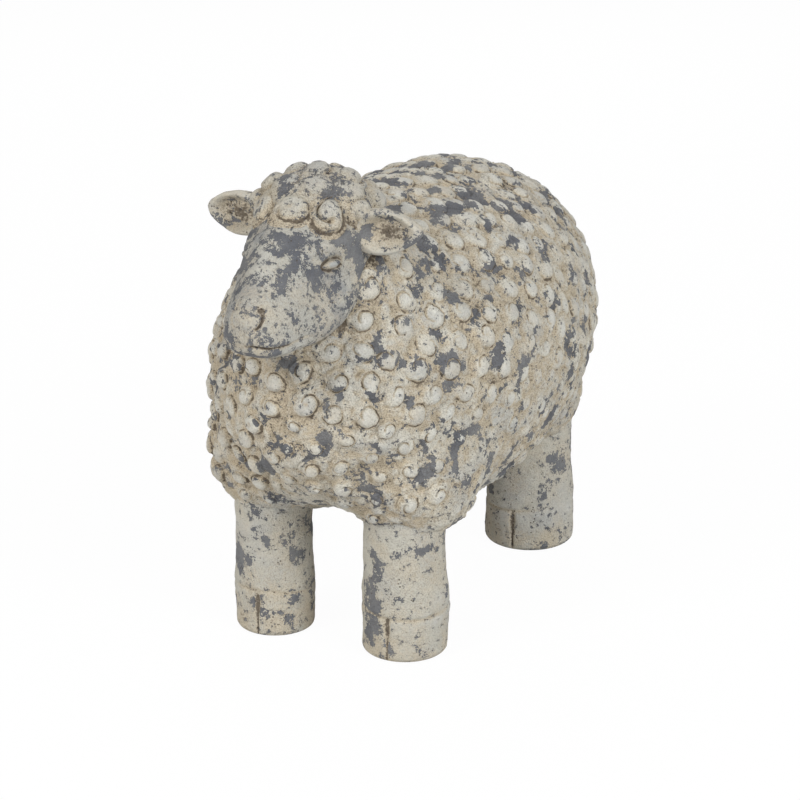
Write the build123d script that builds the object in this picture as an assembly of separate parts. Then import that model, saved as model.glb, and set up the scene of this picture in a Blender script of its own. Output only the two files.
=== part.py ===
"""A standing sheep garden figurine: hollow moulded clay pieces, luted together and covered with applied curls.

Millimetres. +Z is up, the sheep looks along -Y and its left side is +X.
The pieces are laid out about the middle of the body, then moved together so that the origin lies on the
ground under the middle of the whole figure.
"""

import math
import os

from build123d import *

# Body: a barrel of oval profile turned about the Y axis, moulded as a left and a right half
BODY_LENGTH = 490.0
BODY_DIAMETER = 300.0
BODY_AXIS_HEIGHT = 234.0
BODY_TILT = 2.5
BODY_FORWARD = 3.0
BODY_WALL = 14.0
VENT_DIAMETER = 18.0

# Joints: the layer of slip between two pieces, and how wide and deep scored lines are
SLIP_GAP = 0.2
SCORE_DEPTH = 2.5
SCORE_WIDTH = 2.0

# Neck: a ball set into the front of the body
NECK_DIAMETER = 150.0
NECK_FORWARD = 160.0
NECK_HEIGHT = 311.0

# Head: stations along an axis that dips towards the nose
SKULL_FORWARD = 190.0
SKULL_HEIGHT = 362.0
SKULL_SIZE = 111.0
HEAD_DIP = 23.0
HEAD_BACK = 46.0
HEAD_REACH = 130.0
SKULL_END_SHARE = 0.62
SKULL_SLOPE_SHARE = 0.93
CHEEK_STATION = 0.36
CHEEK_WIDTH = 86.0
CHEEK_DEPTH = 104.0
MUZZLE_STATION = 0.74
MUZZLE_WIDTH = 58.0
MUZZLE_DEPTH = 69.0
NOSE_WIDTH = 44.0
NOSE_DEPTH = 46.0
NOSE_ROUND = 16.0
HEAD_WALL = 11.0
MOUTH_WIDTH = 40.0
MOUTH_DEPTH = 6.0
MOUTH_DROP = 8.0
NOSTRIL_DIAMETER = 7.0
NOSTRIL_SPACING = 22.0
NOSTRIL_RISE = 8.0
NOSTRIL_DEPTH = 5.0
EYE_LENGTH = 19.0
EYE_DIAMETER = 10.0
EYE_REACH = 38.0
EYE_SPACING = 87.0
EYE_RISE = 11.0
EYE_TILT = 20.0

# Ears: cupped oval leaves that stand out sideways
EAR_LENGTH = 70.0
EAR_HEIGHT = 37.0
EAR_THICKNESS = 16.0
EAR_EDGE_SHARE = 0.42
EAR_CUP_DEPTH = 7.0
EAR_RIM = 6.0
EAR_SPAN = 194.0
EAR_FORWARD = 198.0
EAR_AXIS_HEIGHT = 379.0

# Legs: hollow tubes with a closed foot, slightly spread at the hoof
TRACK = 127.0
FRONT_LEG_FORWARD = 152.0
REAR_LEG_BACK = 130.0
FRONT_LEG_DIAMETER = 70.0
REAR_LEG_DIAMETER = 79.0
FOOT_SPREAD = 2.0
FOOT_ROUND = 5.0
FOOT_THICKNESS = 12.0
LEG_WALL = 11.0
HOOF_HEIGHT = 40.0
ANKLE_HEIGHT = 80.0

# Shoulders and haunches: balls of clay that cover the joint of each leg
SHOULDER_DIAMETER = 112.0
SHOULDER_SETBACK = 11.0
SHOULDER_HEIGHT = 156.0
HAUNCH_DIAMETER = 94.0
HAUNCH_SETBACK = -6.0
HAUNCH_HEIGHT = 146.0

# Tail: a drop that hangs against the rump
TAIL_LENGTH = 84.0
TAIL_WIDTH = 42.0
TAIL_ROOT_WIDTH = 28.0
TAIL_RISE = 60.0

# Curls: pressed-on volutes, each one turn of a rounded roll of clay
CURL_DIAMETER = 19.0
CURL_HEIGHT = 5.0
CURL_PITCH = 27.0
CURL_ROOM = 12.0
CURL_SIZE_SPREAD = 0.14
ROLL_SHARE = 0.157
ROLL_GAP = 0.3
FORELOCK_DIAMETER = 32.0
FORELOCK_TOWARD = (0.75, 2.0, 1.0)
CROWN_CURL_DIAMETER = 23.0
CROWN_CURL_PITCH = 26.0
FLEECE_UNDERSIDE = -0.62
FLEECE_END_SLOPE = 0.55
FLEECE_TOP_SLOPE = 0.75
COLLAR_WIDTH = 28.0
LATTICE_SLICES = 400

GOLDEN_ANGLE = math.pi * (3.0 - math.sqrt(5.0))
GOLDEN_SHARE = (math.sqrt(5.0) - 1.0) / 2.0
HEXAGON_SHARE = math.sqrt(3.0) / 2.0
BODY_CENTRE = Vector(0, -BODY_FORWARD, BODY_AXIS_HEIGHT)
NECK_CENTRE = Vector(0, -NECK_FORWARD, NECK_HEIGHT)
SKULL_CENTRE = Vector(0, -SKULL_FORWARD, SKULL_HEIGHT)
SIDES = {"left": 1.0, "right": -1.0}


# Body and neck


def spheroid(diameter, length):
    """A rounded solid turned about the Y axis."""
    with BuildPart() as part:
        with BuildSketch(Plane.XY):
            with BuildLine():
                EllipticalCenterArc((0, 0), diameter / 2, length / 2, start_angle=-90, arc_size=180)
                Line((0, length / 2), (0, -length / 2))
            make_face()
        revolve(axis=Axis.Y)
    return part.part


def barrel(grow=0.0):
    """The body's outer form, larger all round by grow."""
    form = spheroid(BODY_DIAMETER + 2 * grow, BODY_LENGTH + 2 * grow)
    return Pos(*BODY_CENTRE) * Rot(BODY_TILT, 0, 0) * form


def neck_ball(grow=0.0):
    """The neck's outer form, larger all round by grow."""
    return Pos(*NECK_CENTRE) * Sphere(NECK_DIAMETER / 2 + grow)


def body_halves():
    """The two moulded halves of the body shell, with vents to the neck and legs and one under the belly."""
    drill = VENT_DIAMETER / 2
    neck_run = NECK_CENTRE - BODY_CENTRE
    upward = (Align.CENTER, Align.CENTER, Align.MIN)
    shell = barrel() - barrel(-BODY_WALL)
    shell -= Pos(0, -BODY_FORWARD, 0) * Cylinder(drill, BODY_AXIS_HEIGHT, align=upward)
    shell -= Plane(BODY_CENTRE, z_dir=neck_run) * Cylinder(drill, neck_run.length, align=upward)
    for leg in LEGS.values():
        shell -= Pos(*leg.centre) * Cylinder(drill, BODY_AXIS_HEIGHT, align=upward)
    halves = {}
    for name, side in SIDES.items():
        keep = Pos(side * BODY_DIAMETER / 2, -BODY_FORWARD, BODY_AXIS_HEIGHT) * Box(
            BODY_DIAMETER, 2 * BODY_LENGTH, 2 * BODY_DIAMETER
        )
        halves[f"body_{name}_half"] = shell & keep
    return halves


def neck_piece():
    """The hollow neck, cut to the body that carries it."""
    return neck_ball() - neck_ball(-BODY_WALL) - barrel(SLIP_GAP)


# Head


def head_plane(reach):
    """A plane across the head, reach millimetres ahead of the skull's centre along the dipping axis."""
    dip = math.radians(HEAD_DIP)
    ahead = Vector(0, -math.cos(dip), -math.sin(dip))
    return Plane(SKULL_CENTRE + ahead * reach, x_dir=(1, 0, 0), z_dir=ahead)


def head_form(grow=0.0):
    """The head's outer form from the back of the skull to the nose, larger all round by grow."""
    stations = (
        (-HEAD_BACK - grow, SKULL_SIZE * SKULL_END_SHARE, SKULL_SIZE * SKULL_END_SHARE),
        (-HEAD_BACK / 2, SKULL_SIZE * SKULL_SLOPE_SHARE, SKULL_SIZE * SKULL_SLOPE_SHARE),
        (0.0, SKULL_SIZE, SKULL_SIZE),
        (HEAD_REACH * CHEEK_STATION, CHEEK_WIDTH, CHEEK_DEPTH),
        (HEAD_REACH * MUZZLE_STATION, MUZZLE_WIDTH, MUZZLE_DEPTH),
        (HEAD_REACH + grow, NOSE_WIDTH, NOSE_DEPTH),
    )
    sections = [
        head_plane(reach) * Ellipse(width / 2 + grow, depth / 2 + grow) for reach, width, depth in stations
    ]
    form = loft(sections)
    nose_end = form.faces().filter_by(GeomType.PLANE).sort_by(Axis.Y)[0]
    return fillet(nose_end.edges(), NOSE_ROUND + grow)


def head_piece():
    """The hollow head with its mouth and nostrils, cut to the neck and body."""
    head = head_form() - neck_ball(SLIP_GAP) - barrel(SLIP_GAP) - head_form(-HEAD_WALL)
    nose = head_plane(HEAD_REACH)
    head -= nose * Pos(0, -MOUTH_DROP, 0) * Box(MOUTH_WIDTH, SCORE_WIDTH, 2 * MOUTH_DEPTH)
    for side in SIDES.values():
        nostril = nose * Pos(side * NOSTRIL_SPACING / 2, NOSTRIL_RISE, 0)
        head -= nostril * Cylinder(NOSTRIL_DIAMETER / 2, 2 * NOSTRIL_DEPTH)
    return head


def eye_pieces():
    """Two almond pellets pressed onto the cheeks."""
    eyes = {}
    for name, side in SIDES.items():
        place = head_plane(EYE_REACH) * Pos(side * EYE_SPACING / 2, EYE_RISE, 0)
        pellet = place * Rot(90 - EYE_TILT, 0, side * EYE_TILT) * spheroid(EYE_DIAMETER, EYE_LENGTH)
        eyes[f"{name}_eye"] = pellet - head_form(SLIP_GAP)
    return eyes


def ear_pieces():
    """Two oval ears with a cup in front, cut to the head and neck."""
    blade = extrude(Plane.XZ * Ellipse(EAR_LENGTH / 2, EAR_HEIGHT / 2), EAR_THICKNESS / 2, both=True)
    blade = fillet(blade.faces().filter_by(Axis.Y).edges(), EAR_THICKNESS * EAR_EDGE_SHARE)
    cup = extrude(Plane.XZ * Ellipse(EAR_LENGTH / 2 - EAR_RIM, EAR_HEIGHT / 2 - EAR_RIM), EAR_CUP_DEPTH)
    blade -= Pos(0, EAR_CUP_DEPTH - EAR_THICKNESS / 2, 0) * cup
    left = Pos((EAR_SPAN - EAR_LENGTH) / 2, -EAR_FORWARD, EAR_AXIS_HEIGHT) * blade
    left = left - head_form(SLIP_GAP) - neck_ball(SLIP_GAP)
    return {"left_ear": left, "right_ear": mirror(left, Plane.YZ)}


# Legs, shoulders, haunches and tail


class Leg:
    """One leg: where its axis meets the ground, its thickness and the ball that covers its joint."""

    def __init__(self, x, y, diameter, ball_diameter, ball_setback, ball_height):
        self.centre = Vector(x, y, 0)
        self.diameter = diameter
        self.ball_diameter = ball_diameter
        self.ball_centre = Vector(x, y + ball_setback, ball_height)

    def form(self, grow=0.0):
        """The leg's outer form from the ground to the body's axis, larger all round by grow."""
        ankle = self.diameter / 2 + grow
        foot = ankle + FOOT_SPREAD
        with BuildPart() as part:
            with BuildSketch(Plane.XZ):
                with BuildLine():
                    Polyline(
                        (0, -grow), (foot, -grow), (foot, HOOF_HEIGHT), (ankle, ANKLE_HEIGHT),
                        (ankle, BODY_AXIS_HEIGHT), (0, BODY_AXIS_HEIGHT), close=True,
                    )
                make_face()
            revolve(axis=Axis.Z)
            rim = part.edges().filter_by(GeomType.CIRCLE).sort_by(Axis.Z)[0]
            fillet(rim, FOOT_ROUND)
        return Pos(*self.centre) * part.part

    def leg_piece(self):
        """The hollow leg with its scored hoof line and the cleft in front, cut to the body."""
        ring = Pos(0, 0, HOOF_HEIGHT) * Cylinder(self.diameter, SCORE_WIDTH)
        cleft = Pos(0, -self.diameter / 2, HOOF_HEIGHT / 2) * Box(SCORE_WIDTH, self.diameter, HOOF_HEIGHT)
        score = Pos(*self.centre) * (ring + cleft) - self.form(-SCORE_DEPTH)
        bore = Pos(self.centre.X, self.centre.Y, FOOT_THICKNESS) * Cylinder(
            self.diameter / 2 - LEG_WALL, BODY_AXIS_HEIGHT, align=(Align.CENTER, Align.CENTER, Align.MIN)
        )
        return self.form() - bore - score - barrel(SLIP_GAP)

    def ball_piece(self):
        """The ball round the top of the leg, cut to the leg and the body."""
        ball = Pos(*self.ball_centre) * Sphere(self.ball_diameter / 2)
        return ball - self.form(SLIP_GAP) - barrel(SLIP_GAP)


def stand():
    """The four legs by name."""
    shoulder = (FRONT_LEG_DIAMETER, SHOULDER_DIAMETER, SHOULDER_SETBACK, SHOULDER_HEIGHT)
    haunch = (REAR_LEG_DIAMETER, HAUNCH_DIAMETER, HAUNCH_SETBACK, HAUNCH_HEIGHT)
    legs = {}
    for name, side in SIDES.items():
        legs[f"front_{name}"] = Leg(side * TRACK / 2, -FRONT_LEG_FORWARD, *shoulder)
        legs[f"rear_{name}"] = Leg(side * TRACK / 2, REAR_LEG_BACK, *haunch)
    return legs


LEGS = stand()


def legs_and_balls():
    """Four legs under the body, with a shoulder or haunch round the top of each."""
    pieces = {}
    for name, leg in LEGS.items():
        end, side = name.split("_")
        pieces[f"{name}_leg"] = leg.leg_piece()
        pieces[f"{side}_{'shoulder' if end == 'front' else 'haunch'}"] = leg.ball_piece()
    return pieces


def barrel_point(along, turn):
    """A point on the barrel and its outward normal, along from its middle and turned about its axis."""
    half_length = BODY_LENGTH / 2
    radius = BODY_DIAMETER / 2
    across = Vector(math.cos(turn), 0, math.sin(turn)) * radius * math.sqrt(1 - (along / half_length) ** 2)
    offset = across + Vector(0, along, 0)
    normal = across / radius**2 + Vector(0, along / half_length**2, 0)
    return BODY_CENTRE + offset.rotate(Axis.X, BODY_TILT), normal.rotate(Axis.X, BODY_TILT).normalized()


def tail_form(grow=0.0):
    """The drop that hangs along the slope of the rump, larger all round by grow."""
    along = BODY_LENGTH / 2 * math.sqrt(1 - (TAIL_RISE / (BODY_DIAMETER / 2)) ** 2)
    point, normal = barrel_point(along, math.pi / 2)
    slope = math.degrees(math.atan2(normal.Z, normal.Y))
    tip = TAIL_WIDTH / 2 + grow
    root = TAIL_ROOT_WIDTH / 2 + grow
    run = TAIL_LENGTH - (TAIL_WIDTH + TAIL_ROOT_WIDTH) / 2
    drop = Pos(0, 0, -run / 2) * Sphere(tip) + Cone(tip, root, run) + Pos(0, 0, run / 2) * Sphere(root)
    return Pos(*point) * Rot(slope, 0, 0) * drop


# Curls


def curl(diameter):
    """A volute standing on the XY plane: a round-topped roll bent through two half turns, the second tighter."""
    height = CURL_HEIGHT * diameter / CURL_DIAMETER
    roll = diameter * ROLL_SHARE
    wide = diameter / 2 - roll
    tight = wide - roll - ROLL_GAP / 2
    stem = height - roll

    def half_turn(bend, centre_x, turn):
        with BuildPart() as part:
            with BuildSketch(Plane.XZ):
                with BuildLine():
                    ThreePointArc((bend + roll, stem), (bend, height), (bend - roll, stem))
                    Polyline((bend - roll, stem), (bend - roll, 0), (bend + roll, 0), (bend + roll, stem))
                make_face()
            revolve(axis=Axis.Z, revolution_arc=180)
        return Pos(centre_x, 0, 0) * Rot(0, 0, turn) * part.part

    def end_knob(x):
        post = Cylinder(roll, stem, align=(Align.CENTER, Align.CENTER, Align.MIN))
        cap = Pos(0, 0, stem) * Sphere(roll, arc_size1=0)
        return Pos(x, 0, 0) * (post + cap)

    volute = half_turn(wide, 0, 0) + half_turn(tight, tight - wide, 180)
    return volute + end_knob(wide) + end_knob(2 * tight - wide)


def barrel_lattice():
    """Points and normals spread evenly over the barrel, by turning the golden angle at equal steps of area."""
    half_length = BODY_LENGTH / 2
    stations = [half_length * (2 * i / LATTICE_SLICES - 1) for i in range(LATTICE_SLICES + 1)]
    rings = [barrel_point(along, 0)[0].X for along in stations]
    area = [0.0]
    for i in range(LATTICE_SLICES):
        slant = math.hypot(stations[i + 1] - stations[i], rings[i + 1] - rings[i])
        area.append(area[-1] + math.pi * (rings[i] + rings[i + 1]) * slant)
    count = round(area[-1] / (CURL_PITCH**2 * HEXAGON_SHARE))
    k = 0
    for i in range(count):
        wanted = (i + 0.5) / count * area[-1]
        while area[k + 1] < wanted:
            k += 1
        share = (wanted - area[k]) / (area[k + 1] - area[k])
        along = stations[k] + share * (stations[k + 1] - stations[k])
        yield barrel_point(along, i * GOLDEN_ANGLE)


def ball_lattice(centre, diameter, pitch):
    """Points and normals spread evenly over a ball."""
    count = round(math.pi * diameter**2 / (pitch**2 * HEXAGON_SHARE))
    for i in range(count):
        z = 1 - (2 * i + 1) / count
        r = math.sqrt(1 - z * z)
        normal = Vector(r * math.cos(i * GOLDEN_ANGLE), r * math.sin(i * GOLDEN_ANGLE), z)
        yield centre + normal * (diameter / 2), normal


def fleece_zone(point, normal):
    """The named patch of fleece that a curl belongs to: round the neck or a leg's top, or by its slope."""
    if (point - NECK_CENTRE).length < NECK_DIAMETER / 2 + COLLAR_WIDTH:
        return "neck_curls"
    if any((point - leg.ball_centre).length < leg.ball_diameter / 2 + COLLAR_WIDTH for leg in LEGS.values()):
        return "leg_top_curls"
    if normal.Y < -FLEECE_END_SLOPE:
        return "chest_curls"
    if normal.Y > FLEECE_END_SLOPE:
        return "rump_curls"
    if normal.Z > FLEECE_TOP_SLOPE:
        return "back_curls"
    return "left_flank_curls" if point.X > 0 else "right_flank_curls"


class Fleece:
    """The curls pressed onto the sheep, in named groups."""

    def __init__(self):
        sizes = [1 + CURL_SIZE_SPREAD * (step - 1) for step in range(3)]
        self.stock = [curl(CURL_DIAMETER * size) for size in sizes]
        self.head = head_form(CURL_ROOM)
        self.body = barrel(CURL_ROOM)
        self.tail = tail_form(CURL_ROOM)
        self.groups = {}

    def press(self, group, shape, point, normal):
        """Stand one curl on the surface at point, along normal, each turned further than the last."""
        curls = self.groups.setdefault(group, [])
        turn = math.degrees(GOLDEN_ANGLE) * len(curls)
        curls.append(Plane(point + normal * SLIP_GAP, z_dir=normal) * Rot(0, 0, turn) * shape)

    def pick(self, place):
        """A curl from the stock of three sizes, in a mixed order."""
        return self.stock[int(place * GOLDEN_SHARE % 1 * len(self.stock))]

    def clear_of_balls(self, point):
        """True where the point is clear of the neck, shoulders and haunches, with room for a curl."""
        balls = [(leg.ball_centre, leg.ball_diameter) for leg in LEGS.values()]
        balls.append((NECK_CENTRE, NECK_DIAMETER))
        return all((point - centre).length > diameter / 2 + CURL_ROOM for centre, diameter in balls)

    def cover_body(self):
        """Curls over the barrel, clear of everything luted to it and of the bare belly."""
        for place, (point, normal) in enumerate(barrel_lattice()):
            if normal.Z < FLEECE_UNDERSIDE or not self.clear_of_balls(point):
                continue
            if not self.head.is_inside(point) and not self.tail.is_inside(point):
                self.press(fleece_zone(point, normal), self.pick(place), point, normal)

    def cover_balls(self):
        """Curls over the neck, the shoulders and the haunches."""
        for point, normal in ball_lattice(NECK_CENTRE, NECK_DIAMETER, CURL_PITCH):
            if not self.body.is_inside(point) and not self.head.is_inside(point):
                self.press("neck_curls", self.stock[1], point, normal)
        for leg in LEGS.values():
            for point, normal in ball_lattice(leg.ball_centre, leg.ball_diameter, CURL_PITCH):
                beside = math.hypot(point.X - leg.centre.X, point.Y - leg.centre.Y)
                if beside > leg.diameter / 2 + CURL_ROOM and not self.body.is_inside(point):
                    self.press("leg_top_curls", self.stock[0], point, normal)

    def cover_crown(self):
        """The large forelock curl and the curls round it on the skull."""
        skull = head_form()
        brow = head_plane(0)
        neck = neck_ball(CURL_ROOM)
        forelock = None
        crown = curl(CROWN_CURL_DIAMETER)
        aside, over, ahead = FORELOCK_TOWARD
        front = (brow.x_dir * aside + brow.y_dir * over + brow.z_dir * ahead).normalized()
        for _, toward in [(None, front), *ball_lattice(SKULL_CENTRE, SKULL_SIZE, CROWN_CURL_PITCH)]:
            hits = skull.find_intersection_points(Axis(SKULL_CENTRE, toward))
            point, normal = max(hits, key=lambda hit: (hit[0] - SKULL_CENTRE).dot(toward))
            if forelock is None:
                forelock = point
                self.press("crown_curls", curl(FORELOCK_DIAMETER), point, normal)
                continue
            low = point.Z < EAR_AXIS_HEIGHT + (EAR_HEIGHT + CROWN_CURL_DIAMETER) / 2
            beside_ear = low and abs(point.Y + EAR_FORWARD) < (EAR_THICKNESS + CROWN_CURL_DIAMETER) / 2
            face = (point - SKULL_CENTRE).dot(brow.z_dir) > FORELOCK_DIAMETER / 2
            under = (point - SKULL_CENTRE).dot(brow.y_dir) < 0
            crowded = (point - forelock).length < (FORELOCK_DIAMETER + CROWN_CURL_DIAMETER) / 2
            if not (beside_ear or face or under or crowded or neck.is_inside(point)):
                self.press("crown_curls", crown, point, normal)

    def pieces(self):
        """Every group of curls by node name."""
        self.cover_body()
        self.cover_balls()
        self.cover_crown()
        return {name: Compound(children=curls) for name, curls in self.groups.items()}


def build():
    """Every piece of the sheep by node name, with the origin on the ground under the middle of the figure."""
    pieces = body_halves()
    pieces["neck"] = neck_piece()
    pieces["head"] = head_piece()
    pieces |= eye_pieces()
    pieces |= ear_pieces()
    pieces |= legs_and_balls()
    pieces["tail"] = tail_form() - barrel(SLIP_GAP)
    pieces |= Fleece().pieces()
    reach = [corner.Y for name in ("head", "tail") for corner in pieces[name].tessellate(SLIP_GAP)[0]]
    reach.append(pieces["rump_curls"].bounding_box().max.Y)
    shift = Pos(0, -(min(reach) + max(reach)) / 2, 0)
    return {name: Compound([shift * solid for solid in piece.solids()]) for name, piece in pieces.items()}


os.makedirs("parts", exist_ok=True)
for node, piece in build().items():
    export_step(piece, f"parts/{node}.step")
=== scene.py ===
"""A weathered clay sheep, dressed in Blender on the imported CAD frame.

Every piece is a closed mesh worked out with numpy in millimetres in the row frame and stored in metres:
the sheep looks along -Y, its left side is +X and +Z is up.
"""

import logging
import math
from collections.abc import Callable
from dataclasses import dataclass
from enum import Enum

import bmesh
import bpy
import numpy as np
from mathutils import Matrix, Vector
from mathutils.kdtree import KDTree


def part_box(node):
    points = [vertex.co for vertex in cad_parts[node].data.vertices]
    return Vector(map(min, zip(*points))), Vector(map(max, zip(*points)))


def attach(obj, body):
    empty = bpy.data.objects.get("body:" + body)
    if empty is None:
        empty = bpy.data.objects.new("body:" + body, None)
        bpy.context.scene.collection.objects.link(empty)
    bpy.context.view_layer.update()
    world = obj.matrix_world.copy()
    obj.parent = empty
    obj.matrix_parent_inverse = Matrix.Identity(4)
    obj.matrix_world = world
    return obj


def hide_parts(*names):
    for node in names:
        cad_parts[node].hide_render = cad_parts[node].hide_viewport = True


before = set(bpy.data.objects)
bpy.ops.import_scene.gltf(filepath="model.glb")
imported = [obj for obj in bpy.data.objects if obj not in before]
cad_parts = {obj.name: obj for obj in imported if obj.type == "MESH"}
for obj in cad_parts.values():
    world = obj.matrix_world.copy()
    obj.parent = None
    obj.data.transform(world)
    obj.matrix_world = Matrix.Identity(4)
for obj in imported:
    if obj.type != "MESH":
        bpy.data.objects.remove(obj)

Array = np.ndarray
Field = Callable[[Array], Array]
Colour = tuple[float, float, float]

LOG = logging.getLogger("sheep")
METRES = 0.001
# Outer radii of the legs in millimetres, and how much slimmer the right front one is.
FRONT_RADIUS = 35.0
REAR_RADIUS = 39.5
RIGHT_LEG_SLIM = 2.0
GOLDEN_ANGLE = math.pi * (3 - math.sqrt(5))
GOLDEN_SHARE = (math.sqrt(5) - 1) / 2


class Side(Enum):
    """The two sides of the sheep, with the sign of X on that side."""

    LEFT = 1
    RIGHT = -1

    @property
    def word(self) -> str:
        """The side as it stands in node names.

        Returns:
            The lower-case name.
        """
        return self.name.lower()


class Slot(Enum):
    """The record's material slots."""

    FLEECE = "fleece_ground"
    SKIN = "smooth_skin"
    EYE = "eye"
    CURL = "curl"


class Mark(Enum):
    """The vertex attributes that the materials read."""

    # Recess depth, which drives the dust and the painted shade.
    HOLLOW = "hollow"
    # Exposure for wear, which also carries the painted highlights on the cheeks and the ear rims.
    RUBBED = "rubbed"


def unit(vectors: Array) -> Array:
    """Scale vectors to length one.

    Args:
        vectors: One vector, or an array whose last axis holds vectors.

    Returns:
        The vectors at length one.
    """
    return vectors / np.maximum(np.linalg.norm(vectors, axis=-1, keepdims=True), 1e-9)


def ease(low: float, high: float, values: Array) -> Array:
    """A smooth step from 0 to 1.

    Args:
        low: Value where the step starts.
        high: Value where the step ends.
        values: The values to grade.

    Returns:
        Shares between 0 and 1.
    """
    share = np.clip((values - low) / (high - low), 0, 1)
    return share * share * (3 - 2 * share)


def bell(values: Array, width: float | Array) -> Array:
    """A bell curve of height one about zero.

    Args:
        values: Distances from the middle.
        width: Distance at which the curve has dropped to about a third.

    Returns:
        The height at each distance.
    """
    return np.exp(-((values / width) ** 2))


def clay_noise(points: Array, wavelength: float, seed: int, octaves: int = 1) -> Array:
    """Smooth lattice noise that depends on nothing but the place and the seed.

    Args:
        points: Places in millimetres, one per row.
        wavelength: Size of the largest lumps in millimetres.
        seed: Number that picks one pattern.
        octaves: How many layers, each half as large and half as strong as the last.

    Returns:
        Values between about -1 and 1.
    """
    total = np.zeros(len(points))
    for octave in range(octaves):
        cell = points * 2**octave / wavelength
        base = np.floor(cell).astype(np.int64)
        part = cell - base
        fade = part**3 * (part * (part * 6 - 15) + 10)
        for corner in range(8):
            step = np.array([corner & 1, corner >> 1 & 1, corner >> 2 & 1])
            key = (base + step) @ np.array([73856093, 19349663, 83492791]) + (seed + octave) * 7919
            key = ((key ^ (key >> 13)) * 1274126177) & 0x7FFFFFFF
            value = ((key ^ (key >> 15)) % 65536) / 32767.5 - 1
            total += np.prod(np.where(step, fade, 1 - fade), axis=1) * value * 0.5**octave
    return total


def oval_distance(points: Array, radii: Array) -> Array:
    """Rough distance to an oval centred on the origin.

    Args:
        points: Places, one per row.
        radii: The oval's three half sizes.

    Returns:
        Distances, below zero inside.
    """
    reach = np.linalg.norm(points / radii, axis=1)
    steep = np.linalg.norm(points / radii**2, axis=1)
    return reach * (reach - 1) / np.maximum(steep, 1e-9)


def melt(first: Array, second: Array, width: float) -> Array:
    """Join two distance fields with a smooth fillet.

    Args:
        first: Distances to one form.
        second: Distances to the other form.
        width: How far the fillet reaches in millimetres.

    Returns:
        Distances to the joined form.
    """
    share = np.maximum(width - np.abs(first - second), 0) / width
    return np.minimum(first, second) - share * share * width / 4


def outward(field: Field, points: Array) -> Array:
    """The direction in which a distance field grows.

    Args:
        field: The distance field.
        points: Places, one per row.

    Returns:
        Unit vectors, one per row.
    """
    reach = 0.6
    steps = np.eye(3) * reach
    return unit(np.stack([field(points + s) - field(points - s) for s in steps], axis=1))


def cast(field: Field, centre: Array, directions: Array, far: float) -> Array:
    """Find where rays from inside a form leave it.

    Args:
        field: The form's distance field.
        centre: A place inside the form.
        directions: Unit vectors, one per row.
        far: A distance that lies outside the form in every direction.

    Returns:
        Places on the surface, one per row.
    """
    low = np.zeros(len(directions))
    high = np.full(len(directions), far)
    for _ in range(22):
        middle = (low + high) / 2
        inside = field(centre + directions * middle[:, None]) < 0
        low = np.where(inside, middle, low)
        high = np.where(inside, high, middle)
    return centre + directions * low[:, None]


def settle(field: Field, points: Array) -> tuple[Array, Array]:
    """Move nearby places onto a surface.

    Args:
        field: The form's distance field.
        points: Places close to the surface, one per row.

    Returns:
        The places on the surface and the outward directions there.
    """
    for _ in range(3):
        points = points - outward(field, points) * field(points)[:, None]
    return points, outward(field, points)


@dataclass
class Shell:
    """A closed mesh in the making.

    Attributes:
        points: Corner places in millimetres.
        polygons: Arrays of corner numbers, one array per polygon size.
        hollow: How deep each corner lies in a recess, from 0; it drives the dust and the painted shade there, and over
            1 it is nearly black.
        rubbed: How exposed each corner is, 0 to 1; it also carries the painted highlights on the cheeks and the ear
            rims.
    """

    points: Array
    polygons: list[Array]
    hollow: Array
    rubbed: Array

    def piece(self, name: str, material: bpy.types.Material, slot: Slot, *nodes: str) -> bpy.types.Object:
        """Make the Blender object, put it in place of its CAD nodes and dress it.

        Args:
            name: Name of the piece.
            material: Its finish.
            slot: The record's material slot; not used.
            nodes: The CAD nodes that it stands for.

        Returns:
            The new object.
        """
        corners = np.concatenate([p.ravel() for p in self.polygons])
        sizes = np.concatenate([np.full(len(p), p.shape[1]) for p in self.polygons])
        starts = np.concatenate([[0], np.cumsum(sizes)[:-1]])
        mesh = bpy.data.meshes.new(name)
        mesh.vertices.add(len(self.points))
        mesh.vertices.foreach_set("co", (self.points * METRES).astype(np.float32).ravel())
        mesh.loops.add(len(corners))
        mesh.loops.foreach_set("vertex_index", corners.astype(np.int32))
        mesh.polygons.add(len(sizes))
        mesh.polygons.foreach_set("loop_start", starts.astype(np.int32))
        mesh.polygons.foreach_set("use_smooth", sizes <= 4)
        for mark, values in ((Mark.HOLLOW, self.hollow), (Mark.RUBBED, self.rubbed)):
            layer = mesh.attributes.new(mark.value, "FLOAT", "POINT")
            layer.data.foreach_set("value", np.clip(values, 0, 1.7).astype(np.float32))
        mesh.update(calc_edges=True)
        mesh.validate()
        mesh.materials.append(material)
        made = bpy.data.objects.new(name, mesh)
        bpy.context.collection.objects.link(made)
        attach(made, "root")
        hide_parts(*nodes)
        LOG.info("%s: %d corners, %d faces", name, len(self.points), len(sizes))
        return made


def ring_polygons(rings: int, turn: int) -> tuple[Array, Array]:
    """Polygons of a closed form made of rings, with one corner at each end.

    Args:
        rings: How many rings.
        turn: How many corners each ring has.

    Returns:
        The four-sided and the three-sided polygons.
    """
    ring, step = np.meshgrid(np.arange(rings - 1), np.arange(turn), indexing="ij")
    nxt = (step + 1) % turn
    lower, upper = ring * turn, (ring + 1) * turn
    quads = np.stack([lower + step, lower + nxt, upper + nxt, upper + step], -1)
    around = np.arange(turn)
    after = (around + 1) % turn
    start, end = np.full(turn, rings * turn), np.full(turn, rings * turn + 1)
    last = (rings - 1) * turn
    fans = np.concatenate(
        [np.stack([start, after, around], -1), np.stack([end, last + around, last + after], -1)]
    )
    return quads.reshape(-1, 4), fans


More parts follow.
